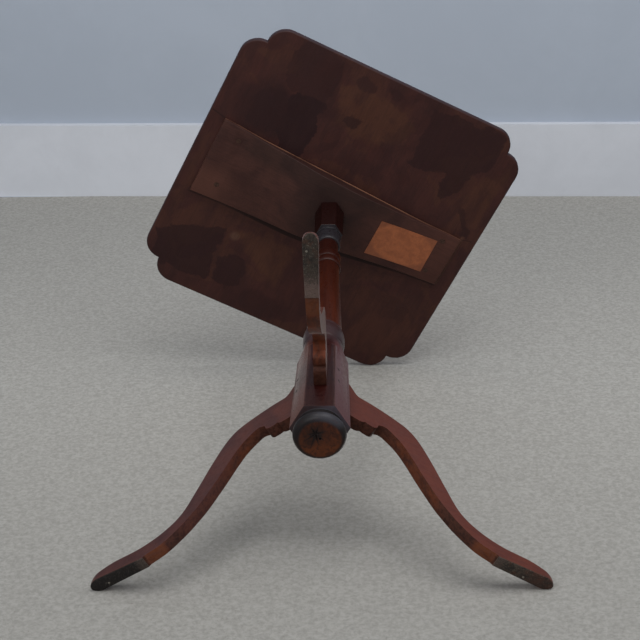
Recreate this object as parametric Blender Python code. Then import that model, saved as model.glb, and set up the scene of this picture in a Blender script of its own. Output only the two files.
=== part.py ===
# Candlestand: a square top with notched corners, a cleat, a turned and faceted pillar, three S-curved legs
# Metres, +Z up, the floor at z = 0, the origin under the middle of the whole stand

import math

import bmesh
import bpy
from mathutils import Matrix, Vector

# Whole stand
STAND_HEIGHT = 0.681
CLEARANCE = 0.0003
OVERRUN = 0.003
WELD = 0.000001
TURNED_STEPS = 48
CURVE_STEPS = 4
LOBE_STEPS = 8
SCREW_STEPS = 12

# Square top with two lobes at each corner
TOP_SIDE = 0.430
TOP_THICKNESS = 0.014
TOP_TURN = math.radians(27.5)
LOBE_RADIUS = 0.0273
LOBE_SPACING = 0.0286
EDGE_ROUND = 0.0022
EDGE_BAND = 0.0072
EDGE_FILLET = 0.0012
EDGE_OVOLO = 0.0040

# Cleat under the top
CLEAT_LENGTH = 0.382
CLEAT_WIDE_END = 0.125
CLEAT_NARROW_END = 0.0835
CLEAT_THICKNESS = 0.020
CLEAT_END_THICKNESS = 0.0055
CLEAT_SEAT_MARGIN = 0.008

# Cleat screws
SCREW_HEAD_RADIUS = 0.0038
SCREW_HEAD_DEPTH = 0.0024
SCREW_SHANK_RADIUS = 0.0019
SCREW_TIP_LENGTH = 0.0040
SCREW_BITE = 0.0090
SCREW_RECESS = 0.0012

# Button and cove under the leg block
BUTTON_FACE_RADIUS = 0.0234
BUTTON_RADIUS = 0.0313
BUTTON_HEIGHT = 0.0095
LATHE_CENTRE_RADIUS = 0.0012
LATHE_CENTRE_DEPTH = 0.0020
COVE_RIM_RADIUS = 0.0278
COVE_RADIUS = 0.0262
COVE_HEIGHT = 0.0120

# Hexagonal leg block, from facet corner to axis
BLOCK_FOOT_RADIUS = 0.0357
BLOCK_HEAD_RADIUS = 0.0315
BLOCK_HEIGHT = 0.139
BLOCK_ABOVE_LEGS = 0.026

# Turned base over the block
SHOULDER_HEIGHT = 0.032
SHOULDER_NECK_RADIUS = 0.0245
TORUS_ROOT_RADIUS = 0.0236
TORUS_RADIUS = 0.0261
TORUS_HEIGHT = 0.031
TORUS_SEAT = 0.002
BASE_FILLET_RADIUS = 0.0232
BASE_FILLET_HEIGHT = 0.006

# Tapered column with its rings
SHAFT_FOOT_RADIUS = 0.0224
SHAFT_MIDDLE_RADIUS = 0.0192
SHAFT_HEAD_RADIUS = 0.0165
LOWER_RING_RADIUS = 0.0186
LOWER_RING_HEIGHT = 0.014
RING_GROOVE_RADIUS = 0.0168
RING_GROOVE_HEIGHT = 0.0022
UPPER_RING_RADIUS = 0.0182
UPPER_RING_HEIGHT = 0.018
NECK_RADIUS = 0.0139
NECK_HEIGHT = 0.032
NECK_SWEEP = 0.005
BEAD_ROOT_RADIUS = 0.0146
BEAD_RADIUS = 0.0175
BEAD_HEIGHT = 0.023
CAP_GROOVE_RADIUS = 0.0164
CAP_GROOVE_HEIGHT = 0.0022
CAP_FILLET_HEIGHT = 0.0063

# Hexagonal capital and the round tenon above it
CAPITAL_FOOT_RADIUS = 0.0197
CAPITAL_HEAD_RADIUS = 0.0208
CAPITAL_HEIGHT = 0.067
TENON_RADIUS = 0.0095

# Wedge in the pillar's tenon
WEDGE_DEPTH = 0.0140
WEDGE_HEAD = 0.0030
WEDGE_TIP = 0.0012

# Legs
LEG_RISE = 0.214
LEG_REACH = 0.305
LEG_THICKNESS = 0.0150
ANKLE_THICKNESS = 0.0140
FOOT_WIDTH = 0.0169
TOE_POINT = 0.0145
LEG_TENON_THICKNESS = 0.0080
LEG_TENON_BASE = 0.150
LEG_TENON_HEIGHT = 0.060
LEG_TENON_INNER = 0.0110
PIN_RADIUS = 0.0023
PIN_BITE = 0.0080
PIN_SPACING = 0.0255

# Pads under the toes
PAD_THICKNESS = 0.0015
PAD_LENGTH = 0.076

# Side view of a leg, as shares of its run from the block to the toe and of its rise over the pad
EAR_SHARES = ((-0.03, 1.03), (0.0, 1.0), (0.022, 0.981), (0.051, 0.920), (0.068, 0.899))
KNEE_SHARES = ((0.068, 0.899), (0.141, 0.882), (0.231, 0.849), (0.307, 0.807), (0.363, 0.731),
               (0.422, 0.590), (0.486, 0.406), (0.551, 0.237), (0.635, 0.147), (0.747, 0.096),
               (0.870, 0.083), (0.942, 0.056), (0.983, 0.026), (1.0, 0.006))
LOBE_SHARES = ((-0.03, 0.710), (0.0, 0.688), (0.043, 0.670), (0.080, 0.664), (0.101, 0.677))
BROW_SHARES = ((0.101, 0.677), (0.119, 0.667), (0.145, 0.665), (0.159, 0.679))
CALF_SHARES = ((0.166, 0.708), (0.195, 0.718), (0.224, 0.698), (0.278, 0.635), (0.325, 0.543),
               (0.368, 0.442), (0.410, 0.350), (0.459, 0.251), (0.505, 0.180), (0.552, 0.119),
               (0.635, 0.042), (0.715, 0.009))

# Place of the ankle along a leg's run
ANKLE_SHARE = 0.62

# Side view of the shoulder over the block: share of its height, share of its fall in radius
SHOULDER_SHARES = ((0.0, 0.0), (0.156, 0.347), (0.312, 0.569), (0.531, 0.764), (0.80, 0.93), (1.0, 1.0))

# Places of the cleat screws: share of the half length, share of the half width there
SCREW_SHARES = ((-0.84, -0.62), (-0.84, 0.62), (0.88, -0.62), (0.88, 0.62))
PIN_PLACE_SHARE = 0.62
PIN_HEIGHT_SHARE = 0.52

# Finishes: colour, roughness and metallic value
FINISHES = {
    "board": ((0.070, 0.027, 0.015), 0.40, 0.0),
    "frame": ((0.088, 0.027, 0.014), 0.34, 0.0),
    "pin": ((0.045, 0.020, 0.012), 0.55, 0.0),
    "wedge": ((0.300, 0.160, 0.070), 0.60, 0.0),
    "pad": ((0.075, 0.065, 0.055), 0.90, 0.0),
    "steel": ((0.090, 0.070, 0.055), 0.50, 1.0),
}

FACETS = 6
ARRIS_ANGLE = math.radians(30)
FLAT_SHARE = math.cos(math.pi / FACETS)
QUARTER = math.pi / 2
LEGS = (("front", -QUARTER), ("right", math.pi / 6), ("left", math.pi * 5 / 6))

# Heights and reaches that follow
BLOCK_HEAD = LEG_RISE + BLOCK_ABOVE_LEGS
BLOCK_FOOT = BLOCK_HEAD - BLOCK_HEIGHT
COVE_FOOT = BLOCK_FOOT - COVE_HEIGHT
BUTTON_FOOT = COVE_FOOT - BUTTON_HEIGHT
SHOULDER_HEAD = BLOCK_HEAD + SHOULDER_HEIGHT
TORUS_FOOT = SHOULDER_HEAD + TORUS_SEAT
BASE_FILLET_FOOT = TORUS_FOOT + TORUS_HEIGHT
SHAFT_FOOT = BASE_FILLET_FOOT + BASE_FILLET_HEIGHT
TOP_UNDERSIDE = STAND_HEIGHT - TOP_THICKNESS
CLEAT_UPPER = TOP_UNDERSIDE - CLEARANCE
CLEAT_SEAT = CLEAT_UPPER - CLEAT_THICKNESS
CAPITAL_HEAD = CLEAT_SEAT - CLEARANCE
CAPITAL_FOOT = CAPITAL_HEAD - CAPITAL_HEIGHT
CAP_GROOVE_FOOT = CAPITAL_FOOT - CAP_GROOVE_HEIGHT
CAP_FILLET_FOOT = CAP_GROOVE_FOOT - CAP_FILLET_HEIGHT
BEAD_GROOVE_FOOT = CAP_FILLET_FOOT - CAP_GROOVE_HEIGHT
BEAD_FOOT = BEAD_GROOVE_FOOT - BEAD_HEIGHT
NECK_FOOT = BEAD_FOOT - NECK_HEIGHT
UPPER_RING_FOOT = NECK_FOOT - UPPER_RING_HEIGHT
RING_GROOVE_FOOT = UPPER_RING_FOOT - RING_GROOVE_HEIGHT
SHAFT_HEAD = RING_GROOVE_FOOT - LOWER_RING_HEIGHT
SOLE = PAD_THICKNESS + CLEARANCE
PAD_HEEL = LEG_REACH - PAD_LENGTH
PIN_MIDDLE = LEG_TENON_BASE + PIN_HEIGHT_SHARE * LEG_TENON_HEIGHT


def block_radius(height):
    """Corner radius of the tapered hexagonal block, extended past its ends."""
    share = (height - BLOCK_FOOT) / BLOCK_HEIGHT
    return BLOCK_FOOT_RADIUS + (BLOCK_HEAD_RADIUS - BLOCK_FOOT_RADIUS) * share


def facet_radius(height):
    """Distance from the axis to the middle of a facet of the block."""
    return FLAT_SHARE * block_radius(height)


LEG_RUN_START = facet_radius(LEG_RISE)
LEG_RUN = LEG_REACH - LEG_RUN_START
PIN_RUN = LEG_TENON_INNER + PIN_PLACE_SHARE * (LEG_RUN_START - LEG_TENON_INNER)


def facet_plane(angle, offset):
    """A point and the outward normal of the facet that faces an angle, moved out by an offset."""
    lean = (facet_radius(BLOCK_FOOT) - facet_radius(BLOCK_HEAD)) / BLOCK_HEIGHT
    turn = Matrix.Rotation(angle, 3, "Z")
    normal = turn @ Vector((1, 0, lean)).normalized()
    point = turn @ Vector((facet_radius(BLOCK_FOOT), 0, BLOCK_FOOT))
    return point + normal * offset, normal


# Curves


def smooth_run(points, steps=CURVE_STEPS):
    """A smooth curve through a few points, ending on the first and the last of them."""
    knots = [Vector(point) for point in points]
    before = [knots[0] * 2 - knots[1]] + knots[:-1]
    after = knots[1:] + [knots[-1] * 2 - knots[-2]]
    slopes = [(late - early) / 2 for early, late in zip(before, after)]
    curve = []
    for start, end, leave, arrive in zip(knots, knots[1:], slopes, slopes[1:]):
        for step in range(steps):
            t = step / steps
            rest = 1 - t
            curve.append(start * (1 + 2 * t) * rest ** 2 + end * t ** 2 * (3 - 2 * t)
                         + leave * t * rest ** 2 - arrive * t ** 2 * rest)
    curve.append(knots[-1])
    return [tuple(point) for point in curve]


def sweep(start, end):
    """A quarter round that leaves the start along the radius and reaches the end along the axis."""
    angles = [QUARTER * step / CURVE_STEPS for step in range(CURVE_STEPS + 1)]
    return [(start[0] + (end[0] - start[0]) * math.sin(angle),
             start[1] + (end[1] - start[1]) * (1 - math.cos(angle))) for angle in angles]


def bulge(start, crown_radius, end):
    """A turned bead between two radii and heights, or a hollow where the crown is the smaller."""
    crown = (crown_radius, (start[1] + end[1]) / 2)
    return sweep(start, crown) + sweep(end, crown)[-2::-1]


# Solids


def closed(bm):
    """Weld what meets and point every face outwards."""
    bmesh.ops.remove_doubles(bm, verts=bm.verts, dist=WELD)
    bmesh.ops.recalc_face_normals(bm, faces=bm.faces)
    return bm


def spun(profile, steps=TURNED_STEPS):
    """A profile of radii and heights that starts and ends on the axis, turned once about Z."""
    bm = bmesh.new()
    verts = [bm.verts.new((radius, 0, height)) for radius, height in profile]
    edges = [bm.edges.new(pair) for pair in zip(verts, verts[1:])]
    bmesh.ops.spin(bm, geom=verts + edges, cent=(0, 0, 0), axis=(0, 0, 1), angle=math.tau,
                   steps=steps, use_merge=True)
    return closed(bm)


def prism(outline, low, high):
    """An outline in X and Y, extruded from one height to another."""
    bm = bmesh.new()
    face = bm.faces.new([bm.verts.new((x, y, low)) for x, y in outline])
    grown = bmesh.ops.extrude_face_region(bm, geom=[face])["geom"]
    upper = [item for item in grown if isinstance(item, bmesh.types.BMVert)]
    bmesh.ops.translate(bm, verts=upper, vec=(0, 0, high - low))
    return closed(bm)


def skinned(rings):
    """A stack of closed rings, each extruded from the one before it, with both ends capped."""
    bm = bmesh.new()
    cap = bm.faces.new([bm.verts.new(point) for point in rings[0]])
    spent = []
    for ring in rings[1:]:
        grown = bmesh.ops.extrude_face_region(bm, geom=[cap])["geom"]
        cap = next(item for item in grown if isinstance(item, bmesh.types.BMFace))
        spent.append(cap)
        for vert, point in zip(cap.verts, ring):
            vert.co = point
    bmesh.ops.delete(bm, geom=spent[:-1], context="FACES_ONLY")
    return closed(bm)


def block(length, width, height, middle):
    """A rectangular block about its middle."""
    bm = bmesh.new()
    bmesh.ops.create_cube(bm, size=1)
    bmesh.ops.scale(bm, verts=bm.verts, vec=(length, width, height))
    bmesh.ops.translate(bm, verts=bm.verts, vec=middle)
    return bm


def rod(radius, start, end):
    """A round rod from one point to another."""
    along = end - start
    bm = bmesh.new()
    bmesh.ops.create_cone(bm, cap_ends=True, segments=TURNED_STEPS // 3, radius1=radius, radius2=radius,
                          depth=along.length)
    bmesh.ops.rotate(bm, verts=bm.verts, matrix=along.to_track_quat("Z", "Y").to_matrix())
    bmesh.ops.translate(bm, verts=bm.verts, vec=(start + end) / 2)
    return bm


def planed(bm, point, normal):
    """Cut away what lies past a plane and close the cut."""
    geometry = bm.verts[:] + bm.edges[:] + bm.faces[:]
    cut = bmesh.ops.bisect_plane(bm, geom=geometry, dist=WELD, plane_co=point, plane_no=normal,
                                 clear_outer=True)
    rim = [item for item in cut["geom_cut"] if isinstance(item, bmesh.types.BMEdge)]
    bmesh.ops.edgeloop_fill(bm, edges=rim)
    return closed(bm)


def linked(name, mesh):
    """A mesh as an object of the scene."""
    piece = bpy.data.objects.new(name, mesh)
    bpy.context.scene.collection.objects.link(piece)
    return piece


def solid(name, bm):
    """A bmesh as an object of the scene."""
    mesh = bpy.data.meshes.new(name)
    bm.to_mesh(mesh)
    bm.free()
    return linked(name, mesh)


def carved(piece, tools, operation="DIFFERENCE"):
    """Take tools from a piece, or keep or add what they share with it, and bake the result."""
    for bm in tools:
        tool = solid("tool", bm)
        change = piece.modifiers.new("carve", "BOOLEAN")
        change.operation = operation
        change.solver = "EXACT"
        change.object = tool
        view = bpy.context.evaluated_depsgraph_get()
        piece.data = bpy.data.meshes.new_from_object(piece.evaluated_get(view))
        piece.modifiers.clear()
        bpy.data.objects.remove(tool)
    piece.data.name = piece.name
    return piece


def finished(piece, finish):
    """Give a piece its own material and smooth shading over its curves."""
    colour, roughness, metallic = FINISHES[finish]
    material = bpy.data.materials.new(piece.name)
    material.use_nodes = True
    shader = material.node_tree.nodes["Principled BSDF"]
    shader.inputs["Base Color"].default_value = (*colour, 1)
    shader.inputs["Roughness"].default_value = roughness
    shader.inputs["Metallic"].default_value = metallic
    piece.data.materials.clear()
    piece.data.materials.append(material)
    piece.data.shade_smooth()
    piece.data.set_sharp_from_angle(angle=ARRIS_ANGLE)
    return piece


def hung(piece, parent, angle=0.0, place=(0, 0, 0)):
    """Parent a piece, turned about the pillar's axis and set in its place."""
    piece.parent = parent
    piece.rotation_euler = (0, 0, angle)
    piece.location = place
    return piece


# Top board


def notched_outline(inset):
    """Outline of the top with its corners cut to two round lobes, moved inwards by an inset."""
    radius = LOBE_RADIUS - inset
    far = TOP_SIDE / 2 - LOBE_RADIUS
    near = far - LOBE_SPACING
    spread = LOBE_SPACING / math.sqrt(2)
    cusp = QUARTER * 3 / 2 - math.acos(min(1, spread / radius))
    lobe = [cusp * step / LOBE_STEPS for step in range(LOBE_STEPS + 1)]
    corner = [(far + radius * math.cos(angle), near + radius * math.sin(angle)) for angle in lobe]
    corner += [(y, x) for x, y in reversed(corner)]
    outline = []
    for turn in range(4):
        spin = Matrix.Rotation(QUARTER * turn, 2)
        outline += [tuple(spin @ Vector(point)) for point in corner]
    return outline


def make_top_board():
    """Board with a softened lower arris, a flat band, a small fillet and an ovolo above it."""
    crest = EDGE_FILLET + EDGE_OVOLO
    arris = [(-inset, height) for inset, height in sweep((-EDGE_ROUND, 0), (0, EDGE_ROUND))]
    ovolo = sweep((crest, TOP_THICKNESS), (EDGE_FILLET, EDGE_BAND))[::-1]
    edge = arris + [(0, EDGE_BAND)] + ovolo
    rings = [[(x, y, TOP_UNDERSIDE + height) for x, y in notched_outline(inset)] for inset, height in edge]
    board = carved(solid("top_board", skinned(rings)), [screw_tool(*place) for place in screw_places()])
    return finished(board, "board")


# Cleat


def cleat_half_width(along):
    """Half the width of the cleat at a distance from the pillar."""
    share = (along + CLEAT_LENGTH / 2) / CLEAT_LENGTH
    return (CLEAT_WIDE_END + (CLEAT_NARROW_END - CLEAT_WIDE_END) * share) / 2


def cleat_underside(along):
    """Height of the cleat's underside: flat over the capital, then bowed up to the thin ends."""
    seat = CAPITAL_HEAD_RADIUS + CLEAT_SEAT_MARGIN
    share = max(0.0, abs(along) - seat) / (CLEAT_LENGTH / 2 - seat)
    return CLEAT_SEAT + (CLEAT_THICKNESS - CLEAT_END_THICKNESS) * share ** 2


def make_cleat():
    """Tapered board, bored for the pillar's tenon and for its screws."""
    seat = CAPITAL_HEAD_RADIUS + CLEAT_SEAT_MARGIN
    right = [seat + (CLEAT_LENGTH / 2 - seat) * step / LOBE_STEPS for step in range(LOBE_STEPS + 1)]
    stations = [-along for along in reversed(right)] + right
    rings = []
    for along in stations:
        half = cleat_half_width(along)
        low = cleat_underside(along)
        section = ((-half, low), (half, low), (half, CLEAT_UPPER), (-half, CLEAT_UPPER))
        rings.append([(along, across, height) for across, height in section])
    bore_foot = Vector((0, 0, CLEAT_SEAT - OVERRUN))
    bore_head = Vector((0, 0, TOP_UNDERSIDE + OVERRUN))
    tools = [rod(TENON_RADIUS + CLEARANCE, bore_foot, bore_head)]
    tools += [screw_tool(*place) for place in screw_places()]
    return finished(carved(solid("cleat", skinned(rings)), tools), "board")


# Cleat screws


def screw_places():
    """Distance along and across the cleat of each screw."""
    places = []
    for long_share, wide_share in SCREW_SHARES:
        along = long_share * CLEAT_LENGTH / 2
        places.append((along, wide_share * cleat_half_width(along)))
    return places


def screw_profile(along, gap):
    """Turned outline of a countersunk screw, grown by a gap."""
    edges = (along - SCREW_HEAD_RADIUS, along + SCREW_HEAD_RADIUS)
    face = max(cleat_underside(edge) for edge in edges) + SCREW_RECESS
    neck = face + SCREW_HEAD_DEPTH
    tip = TOP_UNDERSIDE + SCREW_BITE
    shoulder = tip - SCREW_TIP_LENGTH
    return [(0, face), (SCREW_HEAD_RADIUS + gap, face), (SCREW_SHANK_RADIUS + gap, neck),
            (SCREW_SHANK_RADIUS + gap, shoulder), (0, tip + gap)]


def screw_tool(along, across):
    """Countersunk hole for a screw, open below the cleat."""
    profile = screw_profile(along, CLEARANCE)
    mouth = (SCREW_HEAD_RADIUS + CLEARANCE, CLEAT_SEAT - OVERRUN)
    hole = spun([(0, mouth[1]), mouth] + profile[1:], SCREW_STEPS)
    bmesh.ops.translate(hole, verts=hole.verts, vec=(along, across, 0))
    return hole


def make_screw(index, along):
    """Countersunk wood screw, driven up through the cleat into the top."""
    return finished(solid(f"cleat_screw_{index}", spun(screw_profile(along, 0.0), SCREW_STEPS)), "steel")


# Pillar


def turned_profile():
    """Radius and height of the pillar as it comes off the lathe, from the button to the tenon."""
    reach = BLOCK_FOOT_RADIUS + OVERRUN
    fall = BLOCK_HEAD_RADIUS - SHOULDER_NECK_RADIUS
    up_share, in_share = SHOULDER_SHARES[1]
    flare = (reach - BLOCK_HEAD_RADIUS) * (up_share * SHOULDER_HEIGHT) / (in_share * fall)
    shoulder = [(BLOCK_HEAD_RADIUS - fall * inward, BLOCK_HEAD + SHOULDER_HEIGHT * upward)
                for upward, inward in SHOULDER_SHARES]
    column = [(SHAFT_FOOT_RADIUS, SHAFT_FOOT), (SHAFT_MIDDLE_RADIUS, (SHAFT_FOOT + SHAFT_HEAD) / 2),
              (SHAFT_HEAD_RADIUS, SHAFT_HEAD)]
    profile = [(0, BUTTON_FOOT + LATHE_CENTRE_DEPTH), (LATHE_CENTRE_RADIUS, BUTTON_FOOT)]
    profile += sweep((BUTTON_FACE_RADIUS, BUTTON_FOOT), (BUTTON_RADIUS, COVE_FOOT))
    profile += bulge((COVE_RIM_RADIUS, COVE_FOOT), COVE_RADIUS, (COVE_RIM_RADIUS, BLOCK_FOOT))
    profile += [(reach, BLOCK_FOOT), (reach, BLOCK_HEAD - flare)]
    profile += smooth_run(shoulder, CURVE_STEPS // 2)
    profile += [(SHOULDER_NECK_RADIUS, TORUS_FOOT)]
    profile += bulge((TORUS_ROOT_RADIUS, TORUS_FOOT), TORUS_RADIUS, (TORUS_ROOT_RADIUS, BASE_FILLET_FOOT))
    profile += [(BASE_FILLET_RADIUS, BASE_FILLET_FOOT), (BASE_FILLET_RADIUS, SHAFT_FOOT)]
    profile += smooth_run(column)
    groove = RING_GROOVE_RADIUS
    profile += bulge((groove, SHAFT_HEAD), LOWER_RING_RADIUS, (groove, RING_GROOVE_FOOT))
    profile += bulge((groove, UPPER_RING_FOOT), UPPER_RING_RADIUS, (groove, NECK_FOOT))
    profile += sweep((groove, NECK_FOOT), (NECK_RADIUS, NECK_FOOT + NECK_SWEEP))[1:]
    profile += [(NECK_RADIUS, BEAD_FOOT)]
    profile += bulge((BEAD_ROOT_RADIUS, BEAD_FOOT), BEAD_RADIUS, (CAP_GROOVE_RADIUS, BEAD_GROOVE_FOOT))
    profile += [(CAP_GROOVE_RADIUS, CAP_FILLET_FOOT), (BEAD_RADIUS, CAP_FILLET_FOOT)]
    profile += [(BEAD_RADIUS, CAP_GROOVE_FOOT), (CAP_GROOVE_RADIUS, CAP_GROOVE_FOOT)]
    profile += [(CAP_GROOVE_RADIUS, CAPITAL_FOOT), (reach, CAPITAL_FOOT), (reach, CAPITAL_HEAD)]
    profile += [(TENON_RADIUS, CAPITAL_HEAD), (TENON_RADIUS, CLEAT_UPPER), (0, CLEAT_UPPER)]
    return profile


def hexagonal_envelope():
    """Six-sided limit of the pillar: the tapered leg block and the capital, and wide in between."""
    wide = max(BLOCK_FOOT_RADIUS, BUTTON_RADIUS, TORUS_RADIUS) / FLAT_SHARE + OVERRUN * 2
    cove_middle = COVE_FOOT + COVE_HEIGHT / 2
    seat_middle = SHOULDER_HEAD + TORUS_SEAT / 2
    groove_middle = CAP_GROOVE_FOOT + CAP_GROOVE_HEIGHT / 2
    top = CLEAT_UPPER + OVERRUN
    stations = [(wide, BUTTON_FOOT - OVERRUN), (wide, cove_middle)]
    stations += [(block_radius(height), height) for height in (cove_middle, seat_middle)]
    stations += [(wide, seat_middle), (wide, groove_middle)]
    stations += [(CAPITAL_FOOT_RADIUS, groove_middle), (CAPITAL_FOOT_RADIUS, CAPITAL_FOOT)]
    stations += [(CAPITAL_HEAD_RADIUS, CAPITAL_HEAD), (CAPITAL_HEAD_RADIUS, top)]
    corners = [math.tau * index / FACETS for index in range(FACETS)]
    return skinned([[(radius * math.cos(turn), radius * math.sin(turn), height) for turn in corners]
                    for radius, height in stations])


def turned_to(bm, angle):
    """Turn a tool about the pillar's axis."""
    bmesh.ops.rotate(bm, verts=bm.verts, matrix=Matrix.Rotation(angle, 3, "Z"))
    return bm


def make_pillar():
    """Turned and faceted pillar with its mortises, pin holes and wedged tenon."""
    pillar = carved(solid("pillar", spun(turned_profile())), [hexagonal_envelope()], "INTERSECT")
    for _, angle in LEGS:
        tools = [leg_mortise()] + [pin_hole(height) for height in pin_heights()]
        carved(pillar, [turned_to(tool, angle) for tool in tools])
    carved(pillar, [turned_to(wedge_body(CLEARANCE, OVERRUN), TOP_TURN)])
    return finished(pillar, "frame")


def wedge_body(gap, overrun):
    """Wedge in the frame of the cleat, grown by a gap and run out at its top and sides."""
    slope = (WEDGE_HEAD - WEDGE_TIP) / WEDGE_DEPTH / 2
    low = CLEAT_UPPER - WEDGE_DEPTH - gap
    high = CLEAT_UPPER + overrun
    low_half = WEDGE_TIP / 2 + gap - slope * gap
    high_half = WEDGE_HEAD / 2 + gap + slope * overrun
    reach = math.sqrt(TENON_RADIUS ** 2 - (WEDGE_HEAD / 2) ** 2) - CLEARANCE + overrun
    bm = prism([(-low_half, low), (low_half, low), (high_half, high), (-high_half, high)], -reach, reach)
    bmesh.ops.rotate(bm, verts=bm.verts, matrix=Matrix.Rotation(QUARTER, 3, "X"))
    return bm


def make_wedge():
    """Wedge driven into the tenon from above, across the grain of the cleat."""
    return finished(solid("tenon_wedge", wedge_body(0.0, 0.0)), "wedge")


# Legs, each modelled along +X and turned to its place


def leg_point(share):
    """A point of the side view from its two shares."""
    return (LEG_RUN_START + LEG_RUN * share[0], SOLE + (LEG_RISE - SOLE) * share[1])


def leg_side():
    """Side view of a leg: ear, knee and toe above, scalloped brow, calf and sole below."""
    upper = smooth_run([leg_point(share) for share in EAR_SHARES])
    upper += smooth_run([leg_point(share) for share in KNEE_SHARES], CURVE_STEPS // 2)[1:]
    lower = smooth_run([leg_point(share) for share in LOBE_SHARES], CURVE_STEPS // 2)
    lower += smooth_run([leg_point(share) for share in BROW_SHARES], CURVE_STEPS // 2)[1:]
    lower += smooth_run([leg_point(share) for share in CALF_SHARES], CURVE_STEPS // 2)
    return upper + [(LEG_REACH, SOLE), (PAD_HEEL, SOLE)] + lower[::-1]


def leg_plan(low, high):
    """Plan of a leg: slimmer at the ankle, wider at the foot, and drawn to a rounded nose at the toe."""
    toe_start = LEG_REACH - TOE_POINT
    spine = [(LEG_RUN_START - OVERRUN, LEG_THICKNESS / 2),
             (LEG_RUN_START + LEG_RUN * ANKLE_SHARE, ANKLE_THICKNESS / 2),
             (toe_start, FOOT_WIDTH / 2)]
    half = FOOT_WIDTH / 2
    side = smooth_run(spine)
    for step in range(1, CURVE_STEPS):
        turn = QUARTER * step / CURVE_STEPS
        side.append((toe_start + TOE_POINT * math.sin(turn), half * math.cos(turn)))
    return prism(side + [(LEG_REACH, 0)] + [(x, -y) for x, y in reversed(side)], low, high)


def leg_tenon(gap):
    """Tenon of a leg, or with a gap its mortise."""
    inner = LEG_TENON_INNER - gap
    outer = facet_radius(LEG_TENON_BASE) + OVERRUN
    middle = ((inner + outer) / 2, 0, LEG_TENON_BASE + LEG_TENON_HEIGHT / 2)
    return block(outer - inner, LEG_TENON_THICKNESS + gap * 2, LEG_TENON_HEIGHT + gap * 2, middle)


def leg_mortise():
    """Slot for a leg's tenon, in the frame of the leg."""
    return leg_tenon(CLEARANCE)


def leg_blank():
    """One leg: the sawn side view, trimmed to its plan, with its tenon and pin holes."""
    width = FOOT_WIDTH + OVERRUN * 2
    sawn = prism(leg_side(), -width / 2, width / 2)
    bmesh.ops.rotate(sawn, verts=sawn.verts, matrix=Matrix.Rotation(QUARTER, 3, "X"))
    point, normal = facet_plane(0.0, CLEARANCE)
    leg = solid("leg", planed(sawn, point, -normal))
    carved(leg, [leg_plan(SOLE - OVERRUN, LEG_RISE + OVERRUN)], "INTERSECT")
    carved(leg, [leg_tenon(0.0)], "UNION")
    return carved(leg, [pin_hole(height) for height in pin_heights()])


# Pins across the leg tenons


def pin_heights():
    """Heights of the upper and the lower pin of a leg."""
    return (PIN_MIDDLE + PIN_SPACING / 2, PIN_MIDDLE - PIN_SPACING / 2)


def pin_rod(radius, height, gap):
    """Rod across a tenon, from its blind end out past the facet."""
    blind = -(LEG_TENON_THICKNESS / 2 + PIN_BITE + gap)
    past_facet = BLOCK_FOOT_RADIUS + OVERRUN
    return rod(radius, Vector((PIN_RUN, blind, height)), Vector((PIN_RUN, past_facet, height)))


def pin_hole(height):
    """Hole for a pin, in the frame of the leg."""
    return pin_rod(PIN_RADIUS + CLEARANCE, height, CLEARANCE)


def pin_body(height):
    """Pin planed flush with the facet that it is driven from."""
    point, normal = facet_plane(math.tau / FACETS, 0.0)
    return planed(pin_rod(PIN_RADIUS, height, 0.0), point, normal)


# Pads under the toes


def pad_body():
    """Thin pad with the plan of the toe and a straight heel."""
    return planed(leg_plan(0.0, PAD_THICKNESS), Vector((PAD_HEEL, 0, 0)), Vector((-1, 0, 0)))


# Assembly


def make_stand():
    """Empty on the pillar's axis, set so that the origin lies under the middle of the whole stand."""
    turn = Matrix.Rotation(TOP_TURN, 2)
    top_reach = max((turn @ Vector(point)).y for point in notched_outline(0.0))
    stand = bpy.data.objects.new("stand", None)
    stand.location = (0, (LEG_REACH - top_reach) / 2, 0)
    bpy.context.scene.collection.objects.link(stand)
    return stand


def make_legs(stand):
    """The legs with their pins and pads, each set turned to its facet."""
    leg = leg_blank()
    pad = solid("pad", pad_body())
    for name, angle in LEGS:
        hung(finished(linked(f"leg_{name}", leg.data.copy()), "frame"), stand, angle)
        hung(finished(linked(f"toe_pad_{name}", pad.data.copy()), "pad"), stand, angle)
        for level, height in zip(("upper", "lower"), pin_heights()):
            hung(finished(solid(f"pin_{name}_{level}", pin_body(height)), "pin"), stand, angle)
    bpy.data.objects.remove(leg)
    bpy.data.objects.remove(pad)


def main():
    """Clear the scene and build the stand."""
    for leftover in list(bpy.data.objects):
        bpy.data.objects.remove(leftover)
    stand = make_stand()
    hung(make_top_board(), stand, TOP_TURN)
    cleat = hung(make_cleat(), stand, TOP_TURN)
    for index, place in enumerate(screw_places(), 1):
        hung(make_screw(index, place[0]), cleat, 0.0, (*place, 0))
    hung(make_pillar(), stand)
    hung(make_wedge(), stand, TOP_TURN)
    make_legs(stand)


main()
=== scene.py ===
# %% [markdown]
# # Dressing a candlestand
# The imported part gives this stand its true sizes, but its solids are faceted and plain. Here every visible
# piece is modelled again with fine curves and softened edges, and each one gets a finish built from shader
# nodes. Loading the frame comes first, because the new pieces ride on it and must stay inside its box.

# %% Load the frame
import math

import bmesh
import bpy
from mathutils import Matrix, Vector


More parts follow.
